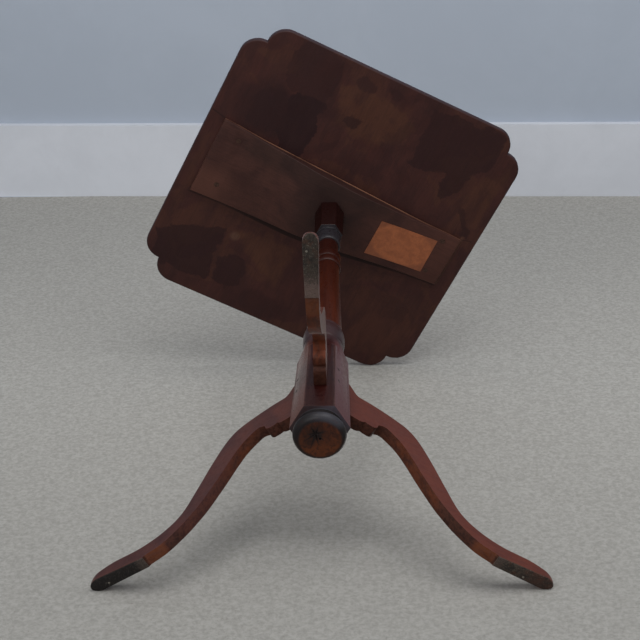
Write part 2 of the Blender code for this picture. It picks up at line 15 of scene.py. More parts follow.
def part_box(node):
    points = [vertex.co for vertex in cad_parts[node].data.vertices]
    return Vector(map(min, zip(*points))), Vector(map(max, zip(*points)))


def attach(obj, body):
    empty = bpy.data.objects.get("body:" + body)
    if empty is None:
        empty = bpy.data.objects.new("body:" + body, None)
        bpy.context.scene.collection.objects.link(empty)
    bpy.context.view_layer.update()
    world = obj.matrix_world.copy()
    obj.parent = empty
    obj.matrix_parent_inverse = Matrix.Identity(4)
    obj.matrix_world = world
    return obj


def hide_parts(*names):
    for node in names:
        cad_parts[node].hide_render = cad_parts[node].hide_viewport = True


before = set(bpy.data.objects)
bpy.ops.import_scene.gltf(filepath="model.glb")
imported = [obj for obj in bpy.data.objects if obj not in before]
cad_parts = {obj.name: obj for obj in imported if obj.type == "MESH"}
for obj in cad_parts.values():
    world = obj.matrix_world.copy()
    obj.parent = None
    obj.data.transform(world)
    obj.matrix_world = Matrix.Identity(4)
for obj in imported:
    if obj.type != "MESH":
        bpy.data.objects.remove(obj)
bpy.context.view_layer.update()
print("frame nodes:", ", ".join(sorted(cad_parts)))

# %% [markdown]
# ## Where things are
# The boxes of the CAD nodes say where the pillar's axis stands, where the top board lies and how far a leg
# reaches. Reading them from the frame, instead of typing them again, keeps the dressed pieces on the solids.

# %% Measure the frame
pillar_low, pillar_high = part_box("pillar")
board_low, board_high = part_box("top_board")
front_low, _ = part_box("leg_front")
AXIS = Vector(((pillar_low.x + pillar_high.x) / 2, (pillar_low.y + pillar_high.y) / 2, 0))
BOARD_BASE, BOARD_TOP = board_low.z, board_high.z
LEG_REACH = AXIS.y - front_low.y
TOP_TURN = math.radians(27.5)
GAP = 0.0003
print(f"axis at y {AXIS.y:.5f}, board from {BOARD_BASE:.4f} to {BOARD_TOP:.4f}, legs reach {LEG_REACH:.4f}")

# %% [markdown]
# ## From a bmesh to a piece
# Every piece ends the same way: doubles merged, faces turned outwards, curves shaded smooth, and the object
# left at the origin with its place in its mesh. One helper does that, and ties the piece to the frame.


# %% Finish a piece
def about_z(angle):
    """A turn about Z."""
    return Matrix.Rotation(angle, 3, "Z")


def set_in_place(bm, turn=0.0):
    """Turn a shape about the pillar's axis and move it from the origin to that axis."""
    bmesh.ops.rotate(bm, verts=bm.verts, matrix=about_z(turn))
    bmesh.ops.translate(bm, verts=bm.verts, vec=AXIS)
    return bm


def mesh_from(name, bm):
    """A mesh made of a bmesh, which is used up."""
    mesh = bpy.data.meshes.new(name)
    bm.to_mesh(mesh)
    bm.free()
    return mesh


def added(name, data):
    """A new object in the scene."""
    thing = bpy.data.objects.new(name, data)
    bpy.context.scene.collection.objects.link(thing)
    return thing


def shown(name, bm, finish, nodes=(), sharp=38):
    """Make a bmesh a piece of the stand that stands for the named CAD nodes."""
    bmesh.ops.remove_doubles(bm, verts=bm.verts, dist=0.000002)
    bmesh.ops.recalc_face_normals(bm, faces=bm.faces)
    mesh = mesh_from(name, bm)
    mesh.shade_smooth()
    mesh.set_sharp_from_angle(angle=math.radians(sharp))
    mesh.materials.append(finish)
    piece = added(name, mesh)
    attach(piece, "root")
    if nodes:
        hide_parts(*nodes)
    width, depth, height = 1000 * piece.dimensions
    print(f"{name}: {len(mesh.polygons)} faces, {width:.0f} x {depth:.0f} x {height:.0f} mm")


# %% [markdown]
# ## Curves from a few points
# A cabinet maker draws a leg or a turning with a bent strip through a few marks. This helper does the same:
# it runs a smooth curve through given points. The quarter round is the other curve that mouldings need.


# %% Curves
def fair(points, steps=6):
    """A smooth curve through a few points, ending on the first and the last of them."""
    knots = [Vector(point) for point in points]
    before = [knots[0] * 2 - knots[1]] + knots[:-1]
    after = knots[1:] + [knots[-1] * 2 - knots[-2]]
    slopes = [(late - early) / 2 for early, late in zip(before, after)]
    curve = []
    for start, end, leave, arrive in zip(knots, knots[1:], slopes, slopes[1:]):
        for step in range(steps):
            t = step / steps
            rest = 1 - t
            curve.append(start * (1 + 2 * t) * rest ** 2 + end * t ** 2 * (3 - 2 * t)
                         + leave * t * rest ** 2 - arrive * t ** 2 * rest)
    return curve + [knots[-1]]


def quarter_round(start, end, steps=8):
    """A quarter round that leaves the start sideways and reaches the end upright."""
    angles = [math.pi / 2 * step / steps for step in range(steps + 1)]
    return [Vector((start[0] + (end[0] - start[0]) * math.sin(angle),
                    start[1] + (end[1] - start[1]) * (1 - math.cos(angle)))) for angle in angles]


def turned_bead(start, crown, end, steps=8):
    """A turned bead between two radii and heights, or a hollow where the crown is the smaller."""
    middle = (crown, (start[1] + end[1]) / 2)
    return quarter_round(start, middle, steps) + quarter_round(end, middle, steps)[-2::-1]


print("a bead of 8 steps has", len(turned_bead((0.01, 0), 0.012, (0.01, 0.004))), "points")

# %% [markdown]
# ## Short calls for shaping
# A few bmesh calls come back in almost every piece: pick the vertices out of what a call has made, find the
# edges at the bottom of a shape, extrude a face and move what grew, round edges over with a bevel, and cut
# with a plane.


# %% Shaping helpers
def of_kind(items, kind=bmesh.types.BMVert):
    """The items of one kind, such as vertices, from what a bmesh call gives back."""
    return [item for item in items if isinstance(item, kind)]


def edges_below(bm, height):
    """The edges that lie wholly under a height."""
    return [edge for edge in bm.edges if all(vert.co.z < height for vert in edge.verts)]


def raised(bm, faces, way):
    """Extrude faces and move what grew."""
    grown = bmesh.ops.extrude_face_region(bm, geom=faces)["geom"]
    bmesh.ops.translate(bm, verts=of_kind(grown), vec=way)
    return grown


def rounded(bm, edges, offset, segments=3, clamp=False):
    """Round edges over."""
    bmesh.ops.bevel(bm, geom=edges, offset=offset, affect="EDGES", segments=segments, profile=0.5,
                    material=-1, clamp_overlap=clamp)


def cut(bm, point, normal, **options):
    """Cut the whole shape with a plane."""
    return bmesh.ops.bisect_plane(bm, geom=bm.verts[:] + bm.edges[:] + bm.faces[:], plane_co=point,
                                  plane_no=normal, **options)


helpers = (of_kind, edges_below, raised, rounded, cut)
print("shaping helpers:", ", ".join(helper.__name__ for helper in helpers))

# %% [markdown]
# ## A short way to write shader nodes
# Each finish mixes a few noises, masks and colours. Wiring them by hand makes long code, so a small class
# adds a node, sets or links its inputs and hands back the output. A coat is one colour laid over another
# where all of its masks meet. All patterns read Object coordinates, which here are metres in the stand's own
# frame, moved to the pillar's axis, so a scale of 100 gives features of about 10 mm.


# %% Shader helper
def tint(code):
    """A colour as it is read from a screen, made linear for the shader."""
    channels = [int(code[place:place + 2], 16) / 255 for place in (0, 2, 4)]
    return tuple(c / 12.92 if c <= 0.04045 else ((c + 0.055) / 1.055) ** 2.4 for c in channels) + (1,)


class Finish:
    """A Principled material with short calls for the nodes that feed it."""

    def __init__(self, name, turn=0.0):
        self.material = bpy.data.materials.new(name)
        self.material.use_nodes = True
        self.tree = self.material.node_tree
        self.shader = self.tree.nodes["Principled BSDF"]
        coords = self.add("TexCoord").outputs["Object"]
        self.place = self.add("Mapping", {"Vector": coords, "Rotation": (0, 0, -turn),
                                          "Location": -(about_z(-turn) @ AXIS)}).outputs["Vector"]
        self.facing = self.parts(self.add("NewGeometry").outputs["Normal"])

    def feed(self, socket, value):
        """Link a socket to an output, or set it to a value."""
        if isinstance(value, bpy.types.NodeSocket):
            self.tree.links.new(value, socket)
        else:
            socket.default_value = value

    def add(self, kind, inputs=None, **settings):
        """One node with its inputs fed."""
        node = self.tree.nodes.new("ShaderNode" + kind)
        for key, value in settings.items():
            setattr(node, key, value)
        for key, value in (inputs or {}).items():
            self.feed(node.inputs[key], value)
        return node

    def parts(self, vector):
        """The X, Y and Z of a vector."""
        return self.add("SeparateXYZ", {"Vector": vector}).outputs

    def combined(self, x, y, z=0.0):
        """A vector from its X, Y and Z."""
        return self.add("CombineXYZ", {"X": x, "Y": y, "Z": z}).outputs[0]

    def calc(self, operation, first, second=0.0, third=0.0):
        """A Math node."""
        return self.add("Math", {0: first, 1: second, 2: third}, operation=operation).outputs[0]

    def times(self, *shares):
        """Masks multiplied together."""
        whole = shares[0]
        for share in shares[1:]:
            whole = self.calc("MULTIPLY", whole, share)
        return whole

    def moved(self, operation, vector, *others):
        """A Vector Math node that gives a vector."""
        return self.add("VectorMath", dict(enumerate((vector, *others))), operation=operation).outputs[0]

    def measured(self, operation, vector, *others):
        """A Vector Math node that gives a number."""
        node = self.add("VectorMath", dict(enumerate((vector, *others))), operation=operation)
        return node.outputs["Value"]

    def from_axis(self):
        """Where a point lies in plan, and how far it is from the pillar's axis."""
        x, y, _ = self.parts(self.place)
        flat = self.combined(x, y)
        return flat, self.measured("LENGTH", flat)

    def noise(self, vector, scale, detail=3.0, roughness=0.5, distortion=0.0, output=0):
        """A noise from 0 to 1."""
        return self.add("TexNoise", {"Vector": vector, "Scale": scale, "Detail": detail,
                                     "Roughness": roughness, "Distortion": distortion}).outputs[output]

    def grained(self, vector, stretch, *settings):
        """A noise drawn out along an axis, as wood grain is."""
        return self.noise(self.moved("MULTIPLY", vector, stretch), *settings)

    def between(self, value, low, high, start=0.0, end=1.0):
        """A smooth step from start to end while a value goes from low to high."""
        return self.add("MapRange", {"Value": value, "From Min": low, "From Max": high, "To Min": start,
                                     "To Max": end}, interpolation_type="SMOOTHSTEP").outputs[0]

    def band(self, value, rise, full, fade, end):
        """A mask that rises, stays full and falls again while a value grows."""
        return self.times(self.between(value, rise, full), self.between(value, end, fade))

    def patch(self, vector, middle, reach, soft=0.12):
        """A soft-edged oval mask on the flat of a board, with its middle and its half widths."""
        local = self.add("Mapping", {"Vector": vector, "Location": (*middle, 0), "Scale": (*reach, 1000)},
                         vector_type="TEXTURE").outputs["Vector"]
        return self.between(self.measured("LENGTH", local), 1 + soft, 1 - soft)

    def mix(self, share, under, over):
        """Two colours mixed by a share."""
        return self.add("Mix", {0: share, 6: under, 7: over}, data_type="RGBA").outputs[2]

    def mottled(self, pattern, first, second, low=0.3, high=0.7):
        """Two colours shared out by a pattern."""
        return self.mix(self.between(pattern, low, high), tint(first), tint(second))

    def coat(self, under, code, *shares):
        """A colour laid over another where all of its masks meet."""
        return self.mix(self.times(*shares), under, tint(code))

    def surface(self, colour, roughness, height=None, depth=0.0002, **sockets):
        """Feed the shader and give back the material."""
        self.feed(self.shader.inputs["Base Color"], colour)
        self.feed(self.shader.inputs["Roughness"], roughness)
        if height is not None:
            relief = self.add("Bump", {"Height": height, "Distance": depth, "Strength": 1.0})
            self.feed(self.shader.inputs["Normal"], relief.outputs[0])
        for key, value in sockets.items():
            self.feed(self.shader.inputs[key.replace("_", " ")], value)
        print("finish", self.material.name, "has", len(self.tree.nodes), "nodes")
        return self.material


# %% [markdown]
# ## The top's finish
# Under the top, old stain and varnish lie in clouds: dark purple-brown pools with crisp shores on a lighter
# warm brown, over grain that runs across the cleat. A few large pools are set where they lie on the real
# board, as plots with a few corners each or as round spots, all in millimetres. Their shores are broken up
# with noise, and a free noise adds the smaller clouds. Painted shade lies on the board along both edges of
# the cleat, held off its far edge by its thickness, and a paler strip painted just past its right end lifts
# the shade that the end casts. The moulded edge band gets a painted shade and a painted bluish sheen. Two
# scribed lines run on past the cleat's ends.

# %% Board finish
DARK_PLOTS = (
    (((-126, -136), (-112, -143), (-74, -143), (-70, -96), (-72, -50), (-112, -50), (-122, -86)), 0.95),
    (((-150, -190), (-132, -217), (-84, -217), (-75, -180), (-75, -141), (-140, -141)), 0.5),
    (((62, -206), (176, -208), (181, -160), (150, -117), (70, -117)), 0.68),
    (((118, -126), (153, -120), (141, -87), (129, -91)), 0.68),
    (((164, -86), (174, -86), (199, -42), (189, -39)), 0.6),
    (((-208, 142), (-121, 97), (-113, 184), (-196, 192)), 0.72),
    (((-108, 150), (-97, 134), (-74, 132), (-62, 152), (-66, 176), (-88, 190), (-106, 184)), 0.68),
)
DARK_SPOTS = (
    ((-32, -130), (9, 9), 0.7), ((-35, -192), (12, 9), 0.5), ((6, -198), (12, 9), 0.5),
    ((-136, -97), (36, 40), 0.85), ((-156, -94), (36, 46), 0.5), ((-20, 190), (40, 18), 0.4),
    ((20, -75), (30, 14), 0.3),
)
PALE_PLOTS = (
    (((-70, -178), (-40, -190), (30, -182), (52, -160), (44, -128), (4, -112), (-50, -122)), 0.8),
    (((-110, 94), (-16, 84), (-18, 156), (-60, 128)), 0.9),
    (((156, -104), (203, -168), (206, -60), (168, -58)), 0.7),
    (((-206, -30), (-196, -30), (-194, 110), (-206, 118)), 0.5),
    (((28, 72), (150, 60), (70, 108), (40, 120)), 0.45),
    (((66, 112), (204, 70), (206, 168), (128, 206), (60, 190)), 0.40),
    (((-114, 104), (-111.5, 104), (-109, 186), (-111, 186)), 0.9),
)
PALE_SPOTS = (((-120, 60), (50, 10), 0.4),)
SCRIBED_LINES = (
    (((-213, -64.5), (-190, -59.5), (-190, -57.9), (-213, -62.9)), 1.0),
    (((189, -38.0), (207, -42.6), (207, -41.2), (189, -36.6)), 0.8),
)
POOL_SHORE, PALE_SHORE, LINE_SHORE = 0.0014, 0.006, 0.0004
CLEAT_LENGTH, CLEAT_HALF, CLEAT_SLOPE, CLEAT_TRIM = 0.382, 0.052125, 0.05432, 0.0054
CLEAT_THICKNESS, CLEAT_END, CLEAT_FLAT, BOW_EASE = 0.020, 0.0055, 0.0288, 0.06
HELD_OFF = 0.537


def plot(wood, place, corners, soft):
    """A mask over a convex patch whose corners, in millimetres, run counterclockwise."""
    out = -1.0
    for (u, v), (next_u, next_v) in zip(corners, corners[1:] + corners[:1]):
        away = Vector((next_v - v, u - next_u, 0)).normalized()
        reach = wood.measured("DOT_PRODUCT", place, away)
        out = wood.calc("MAXIMUM", wood.calc("SUBTRACT", reach, away.dot(Vector((u, v, 0))) / 1000), out)
    return wood.between(out, soft, -soft)


def pools(wood, place, plots, spots, soft=0.0):
    """The strongest of several stained plots and round spots at each point."""
    whole = 0.0
    for corners, strength in plots:
        whole = wood.calc("MAXIMUM", wood.times(plot(wood, place, corners, soft), strength), whole)
    for middle, reach, strength in spots:
        oval = wood.patch(place, [value / 1000 for value in middle], [value / 1000 for value in reach], 0.25)
        whole = wood.calc("MAXIMUM", wood.times(oval, strength), whole)
    return whole


def painted_corner_shade(wood):
    """Painted shade on the board along both edges of the cleat, where the two meet."""
    along, across, _ = wood.parts(wood.place)
    out = wood.calc("ABSOLUTE", along)
    bowed = wood.add("MapRange", {"Value": out, "From Min": CLEAT_FLAT, "From Max": CLEAT_LENGTH / 2})
    share = bowed.outputs[0]
    fall = wood.calc("DIVIDE", wood.calc("POWER", share, 2.0), wood.calc("ADD", share, BOW_EASE))
    bow = wood.calc("POWER", wood.calc("SUBTRACT", 1.0, fall), 2.0)
    thickness = wood.calc("MULTIPLY_ADD", bow, CLEAT_THICKNESS - CLEAT_END, CLEAT_END)
    far = wood.calc("SUBTRACT", wood.calc("MULTIPLY_ADD", along, CLEAT_SLOPE, across), CLEAT_HALF)
    far = wood.calc("MULTIPLY_ADD", thickness, -HELD_OFF, far)
    spread = wood.calc("DIVIDE", far, wood.between(out, 0.05, 0.15, 0.0056, 0.0026))
    far = wood.times(wood.between(spread, 1.12, 0.7), wood.between(far, -0.03, -0.02),
                     wood.between(out, 0.08, 0.15, 0.92, 0.5))
    near = wood.calc("SUBTRACT", wood.times(along, CLEAT_SLOPE), across)
    near = wood.calc("SUBTRACT", near, CLEAT_HALF - CLEAT_TRIM)
    near = wood.times(wood.between(near, 0.0026, 0.0006), wood.between(near, -0.008, -0.006, 0.0, 0.4))
    return wood.times(wood.calc("MAXIMUM", far, near), wood.between(out, 0.197, 0.188))


def plank_grain(wood, way, twist):
    """Fine grain and dark pores that run along the X or the Y axis of a plank."""
    fine, pore = [tuple(share if axis == way else 1 for axis in "XYZ") for share in (0.05, 0.03)]
    pores = wood.between(wood.grained(wood.place, pore, 1500.0, 2.0), 0.60, 0.75)
    return wood.grained(wood.place, fine, 420.0, 5.0, 0.65, twist), pores


def make_board_finish():
    """Stained and varnished board, clouded below and polished above."""
    wood = Finish("board_finish", TOP_TURN)
    drift = wood.noise(wood.place, 30.0, 7.0, 0.6, output="Color")
    shove = wood.moved("SUBTRACT", drift, (0.5, 0.5, 0.5))
    shores = wood.moved("MULTIPLY_ADD", shove, (0.040, 0.040, 0), wood.place)
    cloud = wood.noise(shores, 11.0, 5.0, 0.6, 0.8)
    smoke = wood.noise(wood.place, 30.0, 5.0, 0.6)
    wiped = wood.grained(wood.place, (1, 0.35, 1), 46.0, 5.0, 0.6, 0.5)
    grain, pores = plank_grain(wood, "Y", 0.4)
    dark = wood.calc("MAXIMUM", pools(wood, shores, DARK_PLOTS, DARK_SPOTS, POOL_SHORE),
                     wood.between(cloud, 0.54, 0.60, 0.0, 0.30))
    pale = wood.calc("MAXIMUM", pools(wood, shores, PALE_PLOTS, PALE_SPOTS, PALE_SHORE),
                     wood.between(cloud, 0.46, 0.40, 0.0, 0.45))
    under = wood.mottled(wiped, "321a18", "3d201c")
    under = wood.coat(under, "482b1e", pale, wood.between(wiped, 0.30, 0.62, 0.35, 1.0), 0.85)
    under = wood.coat(under, "220f11", dark, wood.between(wiped, 0.25, 0.6, 0.72, 1.0))
    under = wood.coat(under, "5c4234", wood.patch(wood.place, (-0.102, 0.104), (0.0065, 0.0065), 0.5), 0.55)
    # painted shade on the board along both edges of the cleat
    under = wood.coat(under, "1a0705", painted_corner_shade(wood))
    along, across, _ = wood.parts(wood.place)
    # a paler strip painted on the board just past the cleat's right end: painted light that lifts the shade
    # the end casts
    under = wood.coat(under, "5b3c2f", wood.band(along, 0.1895, 0.1905, 0.1930, 0.1965),
                      wood.between(wood.calc("ABSOLUTE", across), 0.046, 0.040), 0.5)
    under = wood.coat(under, "1a0b0a", pools(wood, wood.place, SCRIBED_LINES, (), LINE_SHORE), 0.7)
    upper = wood.mottled(grain, "4a2012", "6b3119")
    upper = wood.coat(upper, "3a170e", wood.between(smoke, 0.35, 0.75, 0.0, 0.5))
    above = wood.between(wood.facing[2], -0.1, 0.35)
    colour = wood.mix(above, under, upper)
    # the moulded edge band is painted dark and bluish: painted shade with a painted bluish sheen
    colour = wood.coat(colour, "271d24", wood.band(wood.facing[2], -0.97, -0.6, -0.1, 0.3), 0.7)
    colour = wood.coat(colour, "1c0f0c", wood.between(grain, 0.35, 0.75, 0.0, 0.22))
    colour = wood.coat(colour, "170b08", pores, 0.35)
    rough = wood.mix(above, wood.between(smoke, 0.3, 0.7, 0.46, 0.60),
                     wood.between(smoke, 0.3, 0.7, 0.20, 0.34))
    height = wood.calc("ADD", wood.times(grain, 0.7), wood.times(smoke, 0.8))
    return wood.surface(colour, rough, height, 0.00025, Specular_IOR_Level=0.2)


board_finish = make_board_finish()

# %% [markdown]
# ## The top board
# The top is a square with each corner cut to two round lobes, like an old writing slate. One vertex spun
# about a lobe's centre draws an arc, two arcs make a corner, and a quarter turn makes the next one. The
# moulded edge is then worked as on the real board: the face is inset and raised step by step.

# %% Top board
TOP_SIDE = 0.4299
LOBE_RADIUS = 0.0273
LOBE_SPACING = 0.0286
EDGE_ROUND = 0.0022
EDGE_BAND = 0.0072
EDGE_FILLET = 0.0012
EDGE_OVOLO = 0.0040


def notched_square(bm, steps=22):
    """A flat face with two lobes at each corner."""
    half = TOP_SIDE / 2
    far = half - LOBE_RADIUS
    near = far - LOBE_SPACING
    cusp = math.radians(135) - math.acos(LOBE_SPACING / math.sqrt(2) / LOBE_RADIUS)
    first = last = None
    for quarter in range(4):
        turn = about_z(math.radians(90) * quarter)
        tip = bm.verts.new(turn @ Vector((half, near, 0)))
        first = first or tip
        if last:
            bm.edges.new((last, tip))
        for centre in ((far, near, 0), (near, far, 0)):
            arc = bmesh.ops.spin(bm, geom=[tip], cent=turn @ Vector(centre), axis=(0, 0, 1), angle=cusp,
                                 steps=steps)
            tip = of_kind(arc["geom_last"])[0]
        last = tip
    bm.edges.new((last, first))
    return bmesh.ops.edgeloop_fill(bm, edges=bm.edges)["faces"][0]


def moulded(bm, face, profile):
    """Inset and raise a face through a profile of insets and heights."""
    for (inset, height), (next_inset, next_height) in zip(profile, profile[1:]):
        bmesh.ops.inset_region(bm, faces=[face], thickness=next_inset - inset, depth=next_height - height,
                               use_even_offset=True)


def make_top_board():
    """The top with its softened lower arris, band, fillet and ovolo."""
    bm = bmesh.new()
    under = notched_square(bm)
    bmesh.ops.translate(bm, verts=bm.verts, vec=(0, 0, BOARD_BASE + EDGE_ROUND))
    grown = raised(bm, [under], (0, 0, EDGE_BAND - EDGE_ROUND))
    upper = of_kind(grown, bmesh.types.BMFace)[0]
    bmesh.ops.recalc_face_normals(bm, faces=bm.faces)
    crest = EDGE_FILLET + EDGE_OVOLO
    ovolo = quarter_round((crest, BOARD_TOP - BOARD_BASE), (EDGE_FILLET, EDGE_BAND), 7)[::-1]
    moulded(bm, upper, [(0, EDGE_BAND)] + [tuple(point) for point in ovolo])
    arris = [(-x, -z) for x, z in quarter_round((-EDGE_ROUND, 0), (0, EDGE_ROUND), 5)][::-1]
    moulded(bm, under, arris)
    return set_in_place(bm, TOP_TURN)


shown("board", make_top_board(), board_finish, ["top_board"])

# %% [markdown]
# ## The cleat's finish
# The cleat is stained like the board, but it is a separate plank: its grain runs along it, it is grimy
# and painted with shade where the pillar meets it, painted shade darkens its underside towards its near
# long edge, and a line of paler, rubbed wood, painted paler still as light, shows where its side meets the
# board.


# %% Cleat finish
def make_cleat_finish():
    """Stained plank: dirt and painted shade round the pillar, painted shade by its near edge, and a rubbed
    line painted paler as light.
    """
    wood = Finish("cleat_finish", TOP_TURN)
    along, across, height = wood.parts(wood.place)
    smoke = wood.noise(wood.place, 22.0, 5.0, 0.6, 0.8)
    grain, pores = plank_grain(wood, "X", 0.5)
    colour = wood.mottled(smoke, "341e1b", "432822")
    colour = wood.coat(colour, "4c2d25", wood.between(along, 0.10, 0.18, 0.0, 0.6))
    colour = wood.coat(colour, "1f120f", wood.between(grain, 0.35, 0.75, 0.0, 0.3))
    colour = wood.coat(colour, "170b08", pores, 0.35)
    # painted shade: the underside darkens towards the cleat's near long edge
    shaded_edge = wood.times(wood.between(across, -0.010, -0.036), wood.band(along, -0.165, -0.13, 0.06, 0.11))
    colour = wood.coat(colour, "19110f", shaded_edge, 0.45)
    rubbed = wood.times(wood.between(along, -0.12, -0.175), wood.between(across, 0.0, 0.036))
    colour = wood.coat(colour, "5a382e", rubbed, 0.6)
    # dark patch round the pillar: grime and painted shade where the pillar meets the cleat
    grime_and_shade = wood.patch(wood.place, (-0.004, 0.004), (0.046, 0.042), 0.7)
    colour = wood.coat(colour, "1b1312", grime_and_shade, 0.65)
    side = wood.between(wood.calc("ABSOLUTE", wood.facing[2]), 0.6, 0.4)
    colour = wood.coat(colour, "26120f", side, 0.55)
    # a pale line on the side against the board: rubbed wood, painted paler still as painted light on that
    # side
    bare_and_lit = wood.times(wood.between(height, BOARD_BASE - 0.0042, BOARD_BASE - 0.0026), side,
                      wood.between(smoke, 0.25, 0.6, 0.25, 1.0),
                      wood.between(wood.calc("ABSOLUTE", along), 0.185, 0.04, 0.35, 1.0))
    colour = wood.coat(colour, "7c5541", bare_and_lit)
    rough = wood.between(smoke, 0.3, 0.7, 0.50, 0.64)
    return wood.surface(colour, rough, wood.calc("ADD", grain, smoke), 0.0002, Specular_IOR_Level=0.18)


cleat_finish = make_cleat_finish()

# %% [markdown]
# ## The cleat
# A tapered plank, flat where it sits on the pillar and planed thinner towards both ends. A cube is sliced
# across into short lengths, and each slice is then moved to the width and the thickness that the plank has
# there. Its long edges are softened with a bevel, and round tools cut the countersunk screw holes.

# %% Cleat
CLEAT_SLICES, CLEAT_ARRIS = 40, 0.0009
CLEAT_FACE = BOARD_BASE - GAP
CLEAT_FLARE, FLARE_FROM, FLARE_LENGTH = 0.0020, 0.120, 0.060


def cleat_edges(along):
    """Both long edges of the cleat at a distance from the pillar; one was trimmed a little in its middle."""
    half = CLEAT_HALF - CLEAT_SLOPE * along
    flare = min(1.0, max(0.0, (abs(along) - FLARE_FROM) / FLARE_LENGTH))
    return CLEAT_TRIM - CLEAT_FLARE * flare ** 2 * (3 - 2 * flare) - half, half


def cleat_underside(along):
    """Height of the cleat's underside at a distance from the pillar."""
    share = min(1.0, max(0.0, abs(along) - CLEAT_FLAT) / (CLEAT_LENGTH / 2 - CLEAT_FLAT))
    rest = 1 - share ** 2 / (share + BOW_EASE)
    return CLEAT_FACE - CLEAT_END - (CLEAT_THICKNESS - CLEAT_END) * rest ** 2


def make_cleat():
    """The plank with its bow, its taper and its softened edges."""
    bm = bmesh.new()
    bmesh.ops.create_cube(bm, size=1)
    bmesh.ops.scale(bm, verts=bm.verts, vec=(CLEAT_LENGTH, 1, 1))
    for step in range(1, CLEAT_SLICES):
        cut(bm, (CLEAT_LENGTH * (step / CLEAT_SLICES - 0.5), 0, 0), (1, 0, 0))
    for vert in bm.verts:
        low = vert.co.z < 0
        near, far = cleat_edges(vert.co.x)
        vert.co.y = far if vert.co.y > 0 else near
        vert.co.z = cleat_underside(vert.co.x) if low else CLEAT_FACE
    lower = [edge for edge in edges_below(bm, CLEAT_FACE - 0.001) if edge.calc_face_angle() > 1.0]
    rounded(bm, lower, CLEAT_ARRIS)
    return bm


cleat_shape = make_cleat()
print("cleat is", round(1000 * (CLEAT_FACE - cleat_underside(0)), 1), "mm thick in the middle")

# %% [markdown]
# A countersunk hole is easiest cut with a turned tool: its outline is spun about Z, and a Boolean takes it
# from the plank. The result is baked, so the finished piece has no live cutter.

# %% Screw holes
SCREW_PLACES = ((-0.16044, -0.03751), (-0.16044, 0.03751), (0.16808, -0.02662), (0.16808, 0.02662))
SCREW_SUNK, HEAD_RADIUS, HEAD_DEPTH = 0.0002, 0.0038, 0.0024
SINK_RADIUS, BORE_RADIUS, OVERRUN = 0.0039, 0.0022, 0.002


def spun(profile, steps=96):
    """An outline of radii and heights turned once about Z; it may start and end on the axis."""
    bm = bmesh.new()
    verts = [bm.verts.new((radius, 0, height)) for radius, height in profile]
    edges = [bm.edges.new(pair) for pair in zip(verts, verts[1:])]
    bmesh.ops.spin(bm, geom=verts + edges, cent=(0, 0, 0), axis=(0, 0, 1), angle=math.tau, steps=steps,
                   use_merge=True)
    bmesh.ops.remove_doubles(bm, verts=bm.verts, dist=0.000001)
    bmesh.ops.recalc_face_normals(bm, faces=bm.faces)
    return bm


def less(bm, tools):
    """Take tools from a shape with baked Booleans."""
    work = added("work", mesh_from("work", bm))
    for tool in tools:
        cutter = added("cutter", mesh_from("cutter", tool))
        difference = work.modifiers.new("cut", "BOOLEAN")
        difference.operation, difference.solver, difference.object = "DIFFERENCE", "EXACT", cutter
        view = bpy.context.evaluated_depsgraph_get()
        work.data = bpy.data.meshes.new_from_object(work.evaluated_get(view))
        work.modifiers.clear()
        bpy.data.objects.remove(cutter)
    result = bmesh.new()
    result.from_mesh(work.data)
    bpy.data.objects.remove(work)
    return result


def screw_face(along):
    """The height at which a screw's head ends, a hair inside the cleat's underside."""
    return cleat_underside(abs(along) + HEAD_RADIUS) + SCREW_SUNK


def screw_tool(along, across):
    """Countersunk hole, open below the cleat."""
    face = screw_face(along)
    hole = spun([(0, face - 0.02), (SINK_RADIUS, face - 0.02), (SINK_RADIUS, face),
                 (BORE_RADIUS, face + HEAD_DEPTH), (BORE_RADIUS, CLEAT_FACE + OVERRUN),
                 (0, CLEAT_FACE + OVERRUN)], 40)
    bmesh.ops.translate(hole, verts=hole.verts, vec=(along, across, 0))
    return hole


cleat_shape = less(cleat_shape, [screw_tool(*place) for place in SCREW_PLACES])
shown("cleat_plank", set_in_place(cleat_shape, TOP_TURN), cleat_finish, ["cleat"])

# %% [markdown]
# ## The cleat's screws
# Old wood screws with a slotted head, darkened by the stain that ran over them. The head and its shank are a
# short turned shape, and a thin block cuts the slot. The thread is left off, because it is inside the wood.

# %% Screw finish and heads
HEAD_FACE, HEAD_RIM, SHANK_RADIUS, SHANK_SHORT = 0.0037, 0.00384, 0.0019, 0.0005
SLOT = (0.010, 0.0008, 0.0010)
SLOT_TURNS = (0.4, 1.3, 2.2, 0.9)


def make_screw_finish():
    """Dull iron under old stain."""
    metal = Finish("stained_iron")
    film = metal.noise(metal.place, 700.0, 4.0, 0.6)
    rust = metal.noise(metal.place, 1900.0, 2.0)
    colour = metal.mottled(film, "37241e", "46322a", 0.35, 0.65)
    colour = metal.coat(colour, "4a2a1a", metal.between(rust, 0.55, 0.7, 0.0, 0.5))
    rough = metal.between(film, 0.3, 0.7, 0.5, 0.75)
    return metal.surface(colour, rough, film, 0.0001, Metallic=0.15, Specular_IOR_Level=0.2)


